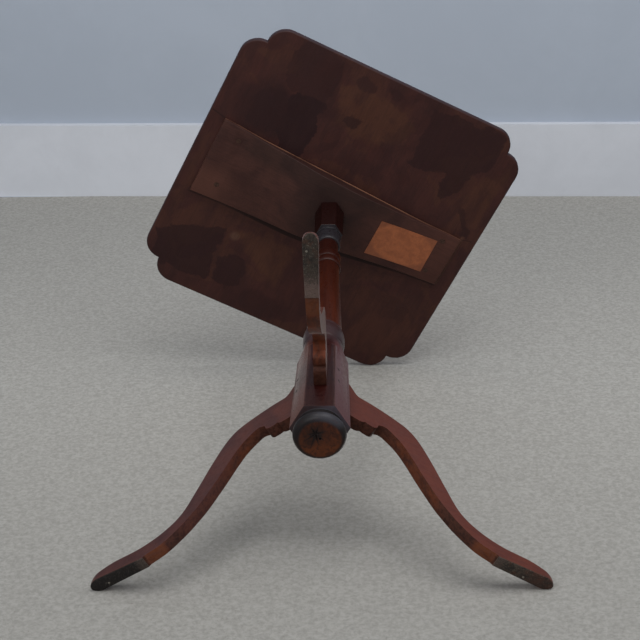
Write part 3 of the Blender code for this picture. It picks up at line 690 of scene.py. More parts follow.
def make_screw_head(along, across, turn):
    """A countersunk head with its slot, on the end of a short shank."""
    face = screw_face(along)
    head = spun([(0, face), (HEAD_FACE, face), (HEAD_RIM, face + 0.0002), (SHANK_RADIUS, face + HEAD_DEPTH),
                 (SHANK_RADIUS, CLEAT_FACE - SHANK_SHORT), (0, CLEAT_FACE - SHANK_SHORT)], 32)
    slot = bmesh.new()
    bmesh.ops.create_cube(slot, size=1)
    bmesh.ops.scale(slot, verts=slot.verts, vec=SLOT)
    bmesh.ops.rotate(slot, verts=slot.verts, matrix=about_z(turn))
    bmesh.ops.translate(slot, verts=slot.verts, vec=(0, 0, face))
    head = less(head, [slot])
    bmesh.ops.translate(head, verts=head.verts, vec=(along, across, 0))
    return set_in_place(head, TOP_TURN)


screw_finish = make_screw_finish()
for number, (place, turn) in enumerate(zip(SCREW_PLACES, SLOT_TURNS), 1):
    shown(f"screw_head_{number}", make_screw_head(*place, turn), screw_finish,
          [f"cleat_screw_{number}"])

# %% [markdown]
# ## The label plate
# A thin orange-brown plate is stuck to the cleat. Only its place and its worn surface are kept: it stays
# blank. A grid is laid on the plank's bow, given its four corners, and thickened.

# %% Label plate
PLATE_CORNERS = ((0.0733, 0.0366), (0.1621, 0.0314), (0.1611, -0.0241), (0.0733, -0.0203))
PLATE_THICKNESS, PLATE_GLUE = 0.0005, 0.0001


def make_plate_finish():
    """Aged copper-coloured plate: mottled, rubbed pale in the middle, dark at its rim."""
    plate = Finish("plate_finish", TOP_TURN)
    mottle = plate.noise(plate.place, 120.0, 5.0, 0.65, 0.5)
    fleck = plate.noise(plate.place, 900.0, 3.0, 0.6)
    colour = plate.mottled(mottle, "7c4223", "92512d")
    colour = plate.coat(colour, "6a3520", plate.between(fleck, 0.55, 0.72, 0.0, 0.45))
    middle = plate.patch(plate.place, (0.117, 0.004), (0.046, 0.030))
    colour = plate.coat(colour, "5a2e1c", plate.between(middle, 1.0, 0.0, 0.0, 0.45))
    rough = plate.between(mottle, 0.3, 0.7, 0.42, 0.58)
    return plate.surface(colour, rough, mottle, 0.0001, Specular_IOR_Level=0.5)


def make_plate():
    """A plate with four free corners, lying on the cleat's underside."""
    bm = bmesh.new()
    bmesh.ops.create_grid(bm, x_segments=24, y_segments=14, size=0.5)
    upper_left, upper_right, lower_right, lower_left = [Vector(corner) for corner in PLATE_CORNERS]
    for vert in bm.verts:
        across, down = vert.co.x + 0.5, 0.5 - vert.co.y
        spot = (upper_left.lerp(upper_right, across)).lerp(lower_left.lerp(lower_right, across), down)
        vert.co = (spot.x, spot.y, cleat_underside(spot.x) - PLATE_GLUE)
    raised(bm, bm.faces[:], (0, 0, -PLATE_THICKNESS))
    return set_in_place(bm, TOP_TURN)


shown("blank_plate", make_plate(), make_plate_finish())

# %% [markdown]
# ## The pillar's finish
# Red-brown varnish over wood whose grain runs up the pillar, with shade painted in: the column darkens
# towards the capital and the capital is darker still, under the top. The block's facets, all but the front
# one, are paler, partly from faded varnish and partly from a painted sheen, and rubbed at their arrises. The
# bead under the capital and the turnings below the block are blackened, with a painted highlight on one side
# of the button, a pale painted sheen under the block, and painted shade in the cove and in the centre hole.
# The button's face shows end grain, with a stain and dark cracks round the marks that the lathe's drive
# centre left. The masks come from height, from distance to the axis and from the way that a facet faces.

# %% Pillar finish
BLOCK_LOW, BLOCK_HIGH = 0.101, 0.240
BLOCK_FOOT_RADIUS, BLOCK_HEAD_RADIUS = 0.0357, 0.0315
BUTTON_LOW = pillar_low.z
CAP_LOW = BOARD_BASE - 2 * GAP - 0.087
BEAD_LOW = CAP_LOW - 0.0337
STAR_MIDDLE = (-0.0042, -0.0062)
HOLE_MIDDLE = (0.0008, 0.0)
CRACKS = ((42, 14.0), (78, 16.0), (108, 21.0), (145, 16.0), (183, 12.0), (243, 13.5), (287, 13.0),
          (342, 14.0))
CRACK_HALF, CRACK_SHORE = 2.0, 0.0005
FACE_SPOTS = (((-13.5, 7), (7.5, 6.5), 0.45), ((15, 6), (8, 4.5), 0.25))


def star_cracks(wood):
    """Dark cracks that run out from the lathe's star, each with its angle and its length in millimetres."""
    middle = 1000 * Vector(STAR_MIDDLE)
    plots = []
    for angle, length in CRACKS:
        away = Vector((math.cos(math.radians(angle)), math.sin(math.radians(angle))))
        beside = CRACK_HALF * Vector((-away.y, away.x))
        plots.append(((tuple(middle - beside), tuple(middle + length * away), tuple(middle + beside)), 1.0))
    return pools(wood, wood.place, plots, (), CRACK_SHORE)


def varnished_and_shaded_shaft(wood, grain):
    """Red-brown varnish with painted shade, darkening towards the capital and darkest on it."""
    z = wood.parts(wood.place)[2]
    colour = wood.mottled(wood.grained(wood.place, (1, 1, 0.12), 60.0, 4.0, 0.6, 0.5), "310f04", "481a06")
    # painted shade: the column darkens towards the capital, under the top
    colour = wood.coat(colour, "1a0402", wood.between(z, 0.31, 0.54, 0.08, 0.86))
    colour = wood.coat(colour, "1c0906", wood.between(grain, 0.4, 0.75, 0.0, 0.45))
    # painted shade: the capital painted darker still
    return wood.coat(colour, "150403", wood.between(z, 0.576, 0.582), 0.9)


def block_wear_and_sheen(wood, colour, scuff, radius):
    """The leg block's side facets, paler from washed-out varnish and a painted sheen, its rubbed arrises, a
    smudge on one facet and dust on the torus.
    """
    x, _, z = wood.parts(wood.place)
    beside = wood.mix(wood.between(x, 0.0, 0.012), tint("56352e"), tint("55373a"))
    # the side facets are paler than the front one: partly faded varnish, partly a painted sheen
    faded_and_sheen = wood.mix(wood.between(wood.facing[1], -0.93, -0.70), tint("1f0809"), beside)
    block = wood.times(wood.band(z, 0.1008, 0.1012, 0.262, 0.272), wood.between(scuff, 0.3, 0.7, 0.92, 0.7))
    colour = wood.mix(block, colour, faded_and_sheen)
    corner = wood.between(z, BLOCK_LOW, BLOCK_HIGH, BLOCK_FOOT_RADIUS, BLOCK_HEAD_RADIUS)
    arris = wood.times(wood.between(wood.calc("SUBTRACT", radius, corner), -0.0011, -0.0006),
                       wood.band(z, 0.1008, 0.1015, 0.250, 0.262), wood.between(scuff, 0.35, 0.6))
    colour = wood.coat(colour, "573f39", arris, 0.4)
    colour = wood.coat(colour, "2b2023", wood.between(z, 0.312, 0.308),
                       wood.between(z, 0.250, 0.274, 0.0, 0.75))
    return wood.coat(colour, "2f1d14", wood.band(z, 0.150, 0.172, 0.204, 0.222),
                     wood.between(x, -0.013, -0.020), wood.between(scuff, 0.3, 0.6, 0.2, 0.7))


def ebonised(wood, scuff, hollow):
    """Blackened wood: a painted highlight on one side of the button, brown at its lip, a pale painted sheen
    under the block, painted shade in the cove.
    """
    x, y, z = wood.parts(wood.place)
    # painted highlight and shade: the button's side is lighter towards +X and -Y, darker elsewhere
    lit_side_highlight = wood.times(wood.between(x, -0.016, 0.012), wood.between(y, -0.008, -0.021))
    button = wood.mix(lit_side_highlight, tint("100e0f"), tint("333339"))
    black = wood.mottled(scuff, "19181b", "262428")
    black = wood.mix(wood.between(z, BLOCK_LOW - 0.0115, BLOCK_LOW - 0.0125, 0.0, 0.8), black, button)
    # a pale bluish painted sheen on the block's underside, brighter towards +X
    under = wood.times(wood.between(z, BLOCK_LOW - 0.0004, BLOCK_LOW - 0.0001), wood.between(z, 0.3, 0.2))
    black = wood.coat(black, "494b54", under, wood.between(x, -0.010, 0.014, 0.12, 0.75))
    lip = wood.times(wood.between(z, BLOCK_LOW - 0.012, BLOCK_LOW - 0.015), wood.between(y, -0.004, 0.014))
    black = wood.coat(black, "20120d", lip, 0.8)
    # painted shade: the cove under the block is painted near-black
    return wood.coat(black, "0d0b0c", hollow, 0.8)


def button_end_grain(wood, scuff, flat):
    """End grain with its stain and soot, the star's cracks, and the centre hole painted near-black as shade.
    """
    y = wood.parts(wood.place)[1]
    colour = wood.mottled(wood.grained(flat, (1, 0.25, 1), 300.0, 4.0, 0.6, 1.0), "30150b", "4a2412")
    worn = wood.between(wood.calc("MULTIPLY_ADD", scuff, 0.01, y), -0.006, 0.016)
    colour = wood.coat(colour, "5c2f14", worn, 0.5)
    stain = wood.patch(wood.place, (-0.0050, -0.0060), (0.0135, 0.0120), 0.7)
    colour = wood.coat(colour, "130c0b", stain, wood.between(scuff, 0.3, 0.6, 0.9, 0.5))
    soot = wood.between(wood.noise(flat, 150.0, 4.0, 0.6, 0.8), 0.48, 0.62, 0.0, 0.55)
    colour = wood.coat(colour, "23120c", soot)
    colour = wood.coat(colour, "1a0f0e", pools(wood, wood.place, (), FACE_SPOTS))
    colour = wood.coat(colour, "0f0b0a", wood.patch(wood.place, STAR_MIDDLE, (0.0058, 0.0056), 0.5), 0.6)
    colour = wood.coat(colour, "120a09", star_cracks(wood), wood.between(scuff, 0.3, 0.5, 0.5, 0.85))
    # the centre hole painted near-black: painted shade in its recess
    return wood.coat(colour, "050303", wood.patch(wood.place, HOLE_MIDDLE, (0.0015, 0.0015), 0.3))


def make_pillar_finish():
    """Varnished turned wood with worn arrises, ebonised turnings and an end-grain face."""
    wood = Finish("pillar_finish")
    z = wood.parts(wood.place)[2]
    flat, radius = wood.from_axis()
    grain = wood.grained(wood.place, (1, 1, 0.045), 480.0, 5.0, 0.65, 0.6)
    scuff = wood.noise(wood.place, 240.0, 5.0, 0.7, 0.4)
    colour = block_wear_and_sheen(wood, varnished_and_shaded_shaft(wood, grain), scuff, radius)
    below = wood.between(z, 0.1012, 0.1009)
    # the cove under the block: painted near-black as shade, and made rougher
    hollow = wood.band(z, BLOCK_LOW - 0.0122, BLOCK_LOW - 0.0116, BLOCK_LOW - 0.0008, BLOCK_LOW - 0.0002)
    bead = wood.band(z, BEAD_LOW - 0.002, BEAD_LOW + 0.001, CAP_LOW, CAP_LOW + 0.0003)
    black = wood.times(wood.calc("MAXIMUM", below, bead), wood.between(scuff, 0.3, 0.5, 0.8, 0.97))
    colour = wood.mix(black, colour, ebonised(wood, scuff, hollow))
    from_middle = wood.measured("LENGTH", wood.moved("SUBTRACT", flat, (0.0010, 0.0010, 0)))
    face = wood.times(wood.between(from_middle, 0.0264, 0.0222),
                      wood.between(z, BUTTON_LOW + 0.005, BUTTON_LOW + 0.003))
    colour = wood.mix(face, colour, button_end_grain(wood, scuff, flat))
    rough = wood.between(scuff, 0.3, 0.7, 0.26, 0.42)
    for mask, more in ((face, 0.2), (below, 0.1), (hollow, 0.4)):
        rough = wood.calc("MULTIPLY_ADD", mask, more, rough)
    return wood.surface(colour, rough, wood.calc("MULTIPLY_ADD", scuff, 0.6, grain), 0.00012,
                        Specular_IOR_Level=0.19, Coat_Weight=0.02, Coat_Roughness=0.2)


pillar_finish = make_pillar_finish()

# %% [markdown]
# ## The pillar
# The pillar is one turned piece, with a hexagonal block for the legs and a small hexagonal capital left on
# it. The block starts as a turned shape, and six leaning planes then cut its facets, which is why each
# facet ends in an arch against the shoulder. Six narrower cuts soften the arrises between them.

# %% Leg block
FACET = math.cos(math.radians(30))
SHOULDER = ((0.0, 0.0), (0.156, 0.347), (0.312, 0.569), (0.531, 0.764), (0.80, 0.93), (1.0, 1.0))
SHOULDER_RISE, SHOULDER_NECK = 0.032, 0.0245
BLANK_SPARE, BLANK_DROP = 0.0072, 0.0149
ARRIS_LEAN = (BLOCK_FOOT_RADIUS - BLOCK_HEAD_RADIUS) / (BLOCK_HIGH - BLOCK_LOW)
ARRIS_FLAT = 0.0004
LEAN = FACET * ARRIS_LEAN


def planed(bm, point, normal):
    """Cut away what lies past a plane and close the cut."""
    parted = cut(bm, point, normal, dist=0.000001, clear_outer=True)
    bmesh.ops.edgeloop_fill(bm, edges=of_kind(parted["geom_cut"], bmesh.types.BMEdge))
    return bm


def facet_plane(angle, offset=0.0):
    """A point and the outward normal of the block's facet that faces an angle."""
    turn = about_z(angle)
    normal = turn @ Vector((1, 0, LEAN)).normalized()
    return turn @ Vector((FACET * BLOCK_FOOT_RADIUS, 0, BLOCK_LOW)) + normal * offset, normal


def make_block():
    """The faceted block with its turned shoulder."""
    fall = BLOCK_HEAD_RADIUS - SHOULDER_NECK
    widest = BLOCK_HEAD_RADIUS + BLANK_SPARE
    shoulder = fair([(BLOCK_HEAD_RADIUS - fall * inward, BLOCK_HIGH + SHOULDER_RISE * upward)
                     for upward, inward in SHOULDER], 6)
    top = BLOCK_HIGH + SHOULDER_RISE + 0.002
    bm = spun([(0, BLOCK_LOW), (widest, BLOCK_LOW), (widest, BLOCK_HIGH - BLANK_DROP)]
              + [tuple(point) for point in shoulder] + [(SHOULDER_NECK, top), (0, top)], 192)
    for side in range(6):
        planed(bm, *facet_plane(math.radians(30 + 60 * side)))
    for corner in range(6):
        turn = about_z(math.radians(60 * corner))
        planed(bm, turn @ Vector((BLOCK_FOOT_RADIUS - ARRIS_FLAT, 0, BLOCK_LOW)),
               turn @ Vector((1, 0, ARRIS_LEAN)).normalized())
    foot = [edge for edge in edges_below(bm, BLOCK_LOW + 0.00001) if edge.calc_face_angle(0) > 0.5]
    rounded(bm, foot, ARRIS_FLAT, 2)
    return bm


block_shape = make_block()
print("leg block:", len(block_shape.faces), "faces")

# %% [markdown]
# Below the block sits a turned cove and a flattened button, the end of the pillar. Its face keeps two marks
# of the lathe: a small centre hole, and beside it the star that the drive centre's spurs cut. The face is
# filled between three loops, the rim, the star and the hole, and the two inner loops are pushed in.

# %% Button with its lathe marks
COVE_FOOT = BLOCK_LOW - 0.012
COVE_RIM, COVE_HOLLOW = 0.0278, 0.0262
BUTTON_FACE, BUTTON_SIDE, BUTTON_SHOULDER = 0.0234, 0.0313, 0.0009
STAR = ((78, 0.0100), (112, 0.0018), (145, 0.0098), (164, 0.0022), (183, 0.0078), (213, 0.0018),
        (243, 0.0084), (265, 0.0022), (287, 0.0090), (315, 0.0020), (342, 0.0106), (390, 0.0019))
HOLE = [(22.5 * step, 0.0012) for step in range(16)]
STAR_DEPTH, STAR_DRAW, HOLE_DEPTH, HOLE_DRAW = 0.0012, 0.6, 0.0030, 0.35


def ring_of(bm, spokes, middle, height):
    """A closed loop of vertices at given angles and radii, such as a circle or a star."""
    verts = [bm.verts.new((middle[0] + radius * math.cos(math.radians(angle)),
                           middle[1] + radius * math.sin(math.radians(angle)), height))
             for angle, radius in spokes]
    return [bm.edges.new(pair) for pair in zip(verts, verts[1:] + verts[:1])]


def sunk(bm, edges, depth, draw):
    """Push a loop into the wood, drawn together by a share, and close its floor."""
    grown = bmesh.ops.extrude_edge_only(bm, edges=edges)["geom"]
    verts = of_kind(grown)
    middle = sum((vert.co for vert in verts), Vector()) / len(verts)
    for vert in verts:
        vert.co = middle.lerp(vert.co, draw) + Vector((0, 0, depth))
    bmesh.ops.edgeloop_fill(bm, edges=[edge for edge in of_kind(grown, bmesh.types.BMEdge)
                                       if all(vert in verts for vert in edge.verts)])


def make_button():
    """The cove and the button, with the lathe's marks in its face."""
    profile = [(0, BLOCK_LOW + 0.003), (COVE_RIM, BLOCK_LOW + 0.003)]
    profile += turned_bead((COVE_RIM, BLOCK_LOW), COVE_HOLLOW, (COVE_RIM, COVE_FOOT), 10)
    widest = (BUTTON_SIDE, COVE_FOOT - BUTTON_SHOULDER)
    profile += quarter_round((BUTTON_SIDE - BUTTON_SHOULDER, COVE_FOOT), widest, 5)
    profile += quarter_round((BUTTON_FACE, BUTTON_LOW), widest, 14)[-2::-1]
    bm = spun([tuple(point) for point in profile], 120)
    rim = [edge for edge in bm.edges if edge.is_boundary]
    star = ring_of(bm, STAR, STAR_MIDDLE, BUTTON_LOW)
    hole = ring_of(bm, HOLE, HOLE_MIDDLE, BUTTON_LOW)
    bmesh.ops.triangle_fill(bm, edges=rim + star + hole, use_beauty=True)
    sunk(bm, star, STAR_DEPTH, STAR_DRAW)
    sunk(bm, hole, HOLE_DEPTH, HOLE_DRAW)
    return bm


button_shape = make_button()
print("button:", len(button_shape.faces), "faces,",
      sum(edge.is_boundary for edge in button_shape.edges), "open edges")

# %% [markdown]
# Above the block the lathe work goes on: a torus, a fillet, the long tapered column, two rings, a slim neck,
# a bead and a fillet under the capital. One outline holds them all, from bottom to top, and a single spin
# turns it. The capital is a six-sided cone cut off near its foot, with its arrises softened.

# %% Column and capital
COLUMN_FOOT, TORUS_LOW, TORUS_HIGH, TORUS_SIDE, TORUS_SEAT = 0.268, 0.274, 0.305, 0.0261, 0.0236
FILLET_HIGH, FILLET_SIDE = 0.311, 0.0232
RINGS = ((0.4753, 0.4893, 0.0186), (0.4915, 0.5095, 0.0182))
RING_GROOVE, NECK, NECK_LOW, NECK_HIGH = 0.0168, 0.0139, 0.5145, 0.5415
SHAFT = ((0.0224, FILLET_HIGH), (0.0192, 0.393), (0.0165, RINGS[0][0]))
BEAD_FOOT, BEAD_SIDE, BEAD_HEAD, BEAD_HIGH = 0.0146, 0.0175, 0.0164, 0.5645
CAP_FOOT_RADIUS, CAP_HEAD_RADIUS, CAP_HEIGHT, CAP_ARRIS = 0.0197, 0.0208, 0.067, 0.0007


def column_outline():
    """Radii and heights of the turned column up to the bead."""
    profile = [(0, COLUMN_FOOT), (TORUS_SEAT, COLUMN_FOOT), (TORUS_SEAT, TORUS_LOW)]
    profile += turned_bead((TORUS_SEAT, TORUS_LOW), TORUS_SIDE, (TORUS_SEAT, TORUS_HIGH), 12)
    profile += [(FILLET_SIDE, TORUS_HIGH), (FILLET_SIDE, FILLET_HIGH)]
    profile += fair(SHAFT, 12)
    for low, high, side in RINGS:
        profile += turned_bead((RING_GROOVE, low), side, (RING_GROOVE, high))
    profile += quarter_round((RING_GROOVE, RINGS[-1][1]), (NECK, NECK_LOW))[1:]
    profile += [(NECK, NECK_HIGH)]
    profile += turned_bead((BEAD_FOOT, NECK_HIGH), BEAD_SIDE, (BEAD_HEAD, BEAD_HIGH), 10)
    return [tuple(point) for point in profile]


def make_column():
    """The turned column with the rings, the neck and the bead set down from the capital."""
    fillet_top, fillet_foot = CAP_LOW - 0.0022, CAP_LOW - 0.0085
    outline = column_outline()
    shift = fillet_foot - 0.0022 - outline[-1][1]
    outline = [(radius, height + (shift if height > 0.45 else 0)) for radius, height in outline]
    outline += [(BEAD_HEAD, fillet_foot), (0.0172, fillet_foot), (BEAD_SIDE, fillet_foot + 0.0004)]
    outline += [(BEAD_SIDE, fillet_top - 0.0004), (0.0172, fillet_top), (BEAD_HEAD, fillet_top)]
    outline += [(BEAD_HEAD, CAP_LOW + 0.002), (0, CAP_LOW + 0.002)]
    return spun(outline, 96)


def make_capital():
    """The hexagonal capital, widening a little upwards, with softened arrises."""
    bm = bmesh.new()
    bmesh.ops.create_cone(bm, cap_ends=True, segments=6, radius1=CAP_FOOT_RADIUS, radius2=CAP_HEAD_RADIUS,
                          depth=CAP_HEIGHT)
    bmesh.ops.rotate(bm, verts=bm.verts, matrix=about_z(math.radians(30)))
    bmesh.ops.translate(bm, verts=bm.verts, vec=(0, 0, CAP_LOW + CAP_HEIGHT / 2))
    upright = [edge for edge in bm.edges if abs(edge.verts[0].co.z - edge.verts[1].co.z) > 0.01]
    rounded(bm, upright + edges_below(bm, CAP_LOW + 0.001), CAP_ARRIS)
    return bm


def joined(shapes):
    """Several closed shapes in one bmesh."""
    whole = bmesh.new()
    for shape in shapes:
        mesh = mesh_from("part", shape)
        whole.from_mesh(mesh)
        bpy.data.meshes.remove(mesh)
    return whole


pillar_shape = joined([button_shape, block_shape, make_column(), make_capital()])
shown("turned_pillar", set_in_place(pillar_shape), pillar_finish, ["pillar"], 30)

# %% [markdown]
# ## The legs' finish
# The legs have the pillar's varnish on their sides. Their undersides are more orange, because they were only
# wiped with stain. Towards each toe pad the wood is soiled first and then rubbed almost bare, and a line of
# painted shade lies just before each pad's heel. The arrises are worn too: the leg's mesh carries that as an
# attribute, painted where the bevel ran.

# %% Leg finish
PAD_HEEL = LEG_REACH - 0.076
LEGS = (("front", -90), ("right", 30), ("left", 150))


def across_leg(wood, flat):
    """The distance from the nearest leg's middle plane, which is the middle one of the three distances."""
    turns = [math.radians(angle) for _, angle in LEGS]
    first, second, third = [wood.measured("DOT_PRODUCT", flat, (-math.sin(turn), math.cos(turn), 0))
                            for turn in turns]
    low, high = wood.calc("MINIMUM", first, second), wood.calc("MAXIMUM", first, second)
    return wood.calc("MAXIMUM", low, wood.calc("MINIMUM", high, third))


def make_leg_finish():
    """Varnished sides, wiped undersides and rubbed arrises."""
    wood = Finish("leg_finish")
    x, y, z = wood.parts(wood.place)
    flat, run = wood.from_axis()
    along = wood.combined(run, across_leg(wood, flat), z)
    grain = wood.grained(along, (0.10, 1, 0.35), 420.0, 5.0, 0.65, 0.8)
    patchy = wood.grained(along, (0.3, 1, 0.5), 110.0, 5.0, 0.6, 0.8)
    scuff = wood.noise(wood.place, 260.0, 5.0, 0.7, 0.4)
    side = wood.mottled(wood.noise(wood.place, 26.0, 4.0, 0.6, 0.6), "3e201b", "50291f")
    side = wood.coat(side, "5b281a", wood.between(x, 0.0, 0.05, 0.0, 0.55))
    side = wood.coat(side, "2f1b1d", wood.between(x, -0.06, -0.14, 0.0, 0.4))
    side = wood.coat(side, "28110e", wood.between(grain, 0.4, 0.75, 0.0, 0.35))
    under = wood.mottled(patchy, "2e130a", "50250f", 0.35, 0.65)
    under = wood.coat(under, "1e0c06", wood.between(grain, 0.45, 0.7, 0.0, 0.5))
    under = wood.coat(under, "260f08", wood.between(run, 0.105, 0.085, 0.0, 0.7))
    under = wood.coat(under, "31191a", wood.between(x, -0.085, -0.125, 0.0, 0.7))
    under = wood.coat(under, "6f2f10", wood.between(y, -0.053, -0.070), wood.between(run, 0.215, 0.2),
                      wood.between(patchy, 0.38, 0.55, 0.15, 0.50))
    below = wood.between(wood.facing[2], -0.15, -0.42)
    rubbed = wood.times(wood.between(run, 0.199, 0.206), wood.between(z, 0.06, 0.03), below,
                        wood.between(patchy, 0.3, 0.55, 0.5, 1.0))
    colour = wood.coat(wood.mix(below, side, under), "5f3219", rubbed, 0.8)
    ahead = wood.calc("ADD", run, wood.between(x, 0.0, 0.05, 0.0, 0.022))
    soil_and_heel_shade = wood.times(wood.between(ahead, 0.176, 0.190), wood.between(run, 0.202, 0.197),
                        wood.between(patchy, 0.30, 0.5))
    # a dark line just before each pad's heel: painted shade where the pad steps down from the sole
    soil_and_heel_shade = wood.calc("MAXIMUM", soil_and_heel_shade, wood.between(run, PAD_HEEL - 0.0035, PAD_HEEL - 0.0012))
    colour = wood.coat(colour, "190d0a", soil_and_heel_shade, below, wood.between(run, PAD_HEEL + 0.004, PAD_HEEL + 0.002),
                       wood.between(y, -0.11, -0.08, 0.3, 1.0), 0.8)
    worn = wood.add("Attribute", attribute_name="worn").outputs["Fac"]
    colour = wood.coat(colour, "5c382c", worn, wood.between(scuff, 0.35, 0.62),
                       wood.between(run, 0.19, 0.22, 0.35, 0.6))
    rough = wood.calc("MULTIPLY_ADD", below, 0.34, wood.between(scuff, 0.3, 0.7, 0.28, 0.44))
    return wood.surface(colour, rough, wood.calc("MULTIPLY_ADD", scuff, 0.6, grain), 0.00012,
                        Specular_IOR_Level=0.17, Coat_Weight=0.02, Coat_Roughness=0.25)


leg_finish = make_leg_finish()

# %% [markdown]
# ## The legs
# Each leg is sawn from a board to an S-curve with a small ear on top, a scalloped brow below the knee and a
# flat sole. Its side view is filled as one face and extruded to a slab. Cross cuts then split the slab, so
# that each slice can be moved to the leg's width there: slim at the ankle, wider at the toe's round nose.
# The marks of the side view are shares of the leg's run and rise.

# %% Leg shape
LEG_RISE = 0.214
SOLE = 0.0018
LEG_START = FACET * (BLOCK_FOOT_RADIUS + (BLOCK_HEAD_RADIUS - BLOCK_FOOT_RADIUS)
                     * (LEG_RISE - BLOCK_LOW) / (BLOCK_HIGH - BLOCK_LOW))
TOE_POINT, FOOT_HALF, ANKLE_HALF, KNEE_HALF = 0.0145, 0.00845, 0.0070, 0.0075
TOE = LEG_REACH - TOE_POINT
ANKLE = LEG_START + 0.62 * (LEG_REACH - LEG_START)
EAR = ((-0.06, 1.05), (0.0, 1.0), (0.022, 0.981), (0.051, 0.920), (0.068, 0.899))
KNEE = ((0.068, 0.899), (0.141, 0.882), (0.231, 0.849), (0.307, 0.807), (0.363, 0.731), (0.422, 0.590),
        (0.486, 0.406), (0.551, 0.237), (0.635, 0.147), (0.747, 0.096), (0.870, 0.083), (0.942, 0.056),
        (0.983, 0.026), (1.0, 0.006))
BROW_LOBE = ((-0.06, 0.735), (0.0, 0.688), (0.043, 0.670), (0.080, 0.664), (0.101, 0.677))
BROW_NOTCH = ((0.101, 0.677), (0.119, 0.667), (0.145, 0.665), (0.159, 0.679))
CALF = ((0.166, 0.708), (0.195, 0.718), (0.224, 0.698), (0.278, 0.635), (0.325, 0.543), (0.368, 0.442),
        (0.410, 0.350), (0.459, 0.251), (0.505, 0.180), (0.552, 0.119), (0.635, 0.042), (0.715, 0.009))


def side_curve(marks, steps):
    """A smooth part of the side view through its marks."""
    return fair([(LEG_START + (LEG_REACH - LEG_START) * along, SOLE + (LEG_RISE - SOLE) * up)
                 for along, up in marks], steps)


def leg_half(run):
    """Half the leg's width at a distance from the axis."""
    if run > TOE:
        return FOOT_HALF * math.sqrt(max(0.0, 1 - ((run - TOE) / TOE_POINT) ** 2))
    if run > ANKLE:
        return ANKLE_HALF + (FOOT_HALF - ANKLE_HALF) * ((run - ANKLE) / (TOE - ANKLE)) ** 1.5
    return KNEE_HALF + (ANKLE_HALF - KNEE_HALF) * (run - LEG_START) / (ANKLE - LEG_START)


def leg_outline():
    """The side view, from the ear over the knee to the toe and back along the sole, calf and brow."""
    upper = side_curve(EAR, 6) + side_curve(KNEE, 8)[1:]
    lower = side_curve(BROW_LOBE, 6) + side_curve(BROW_NOTCH, 5)[1:] + side_curve(CALF, 6)
    return upper + [Vector((LEG_REACH, SOLE)), Vector((PAD_HEEL, SOLE))] + lower[::-1]


def make_leg():
    """One leg along +X, cut to its width and planed to the block's facet."""
    bm = bmesh.new()
    face = bm.faces.new([bm.verts.new((run, -1, height)) for run, height in leg_outline()])
    raised(bm, [face], (0, 2, 0))
    cuts = [LEG_START + (LEG_REACH - TOE_POINT - LEG_START) * step / 44 for step in range(1, 45)]
    cuts += [LEG_REACH - TOE_POINT * (1 - math.sin(math.radians(angle))) for angle in range(7, 86, 6)]
    for run in cuts:
        cut(bm, (run, 0, 0), (1, 0, 0), dist=0.00002)
    for vert in bm.verts:
        vert.co.y = math.copysign(leg_half(vert.co.x), vert.co.y)
    point, normal = facet_plane(0.0, GAP)
    planed(bm, point, -normal)
    bmesh.ops.remove_doubles(bm, verts=bm.verts, dist=0.00008)
    bmesh.ops.recalc_face_normals(bm, faces=bm.faces)
    return bm


leg_shape = make_leg()
print("leg blank:", len(leg_shape.faces), "faces, from", round(LEG_START, 4), "to", round(LEG_REACH, 4))

# %% [markdown]
# The arrises are found by the faces beside them: one is a side and the other isn't. After the bevel, an
# inset ring on each side keeps the wear close to them.

# %% Soften and mark the arrises
LEG_ARRIS, WEAR_BAND = 0.0011, 0.0012


def arrises(bm):
    """The long edges between a leg's sides and its top or underside."""
    found = []
    for edge in bm.edges:
        across = abs((edge.verts[1].co - edge.verts[0].co).normalized().y)
        runs = [vert.co.x for vert in edge.verts]
        clear = min(runs) > LEG_START + 0.0012 and max(runs) < LEG_REACH - 0.0008
        if len(edge.link_faces) == 2 and across < 0.97 and clear:
            sides = [abs(face.normal.y) > 0.5 for face in edge.link_faces]
            if sides[0] != sides[1]:
                found.append(edge)
    return found


def softened_leg(bm):
    """Bevel the arrises, then ring each side with an inset so that wear stays near them."""
    rounded(bm, arrises(bm), LEG_ARRIS, clamp=True)
    bmesh.ops.recalc_face_normals(bm, faces=bm.faces)
    sides = [face for face in bm.faces if abs(face.normal.y) > 0.97 and face.calc_area() > 0.000002]
    bmesh.ops.inset_region(bm, faces=sides, thickness=WEAR_BAND, use_even_offset=True)
    worn = bm.verts.layers.float.new("worn")
    inner = {vert for face in sides for vert in face.verts}
    for vert in bm.verts:
        vert[worn] = 0.0 if vert in inner else 1.0
    return bm


leg_shape = softened_leg(leg_shape)
print("softened leg:", len(leg_shape.faces), "faces")

# %% [markdown]
# The three legs are one pattern, so the shape is made once and copied to each facet.

# %% Three legs
for name, angle in LEGS:
    shown(f"{name}_leg", set_in_place(leg_shape.copy(), math.radians(angle)), leg_finish,
          [f"leg_{name}"])
leg_shape.free()

# %% [markdown]
# ## The pins
# Two small pins lock each leg's tenon, and their ends show on the facets beside the legs as dark dots. The
# wood round them has shrunk, so each stands a hair proud with a rounded rim.

# %% Pins
PIN_RUN = 0.011 + 0.62 * (LEG_START - 0.011)
PIN_HEIGHTS = (("upper", 0.19395), ("lower", 0.16845))
PIN_RADIUS, PIN_LENGTH, PIN_OFFSET, PIN_PROUD, PIN_RIM = 0.0023, 0.060, 0.020, 0.0001, 0.0003


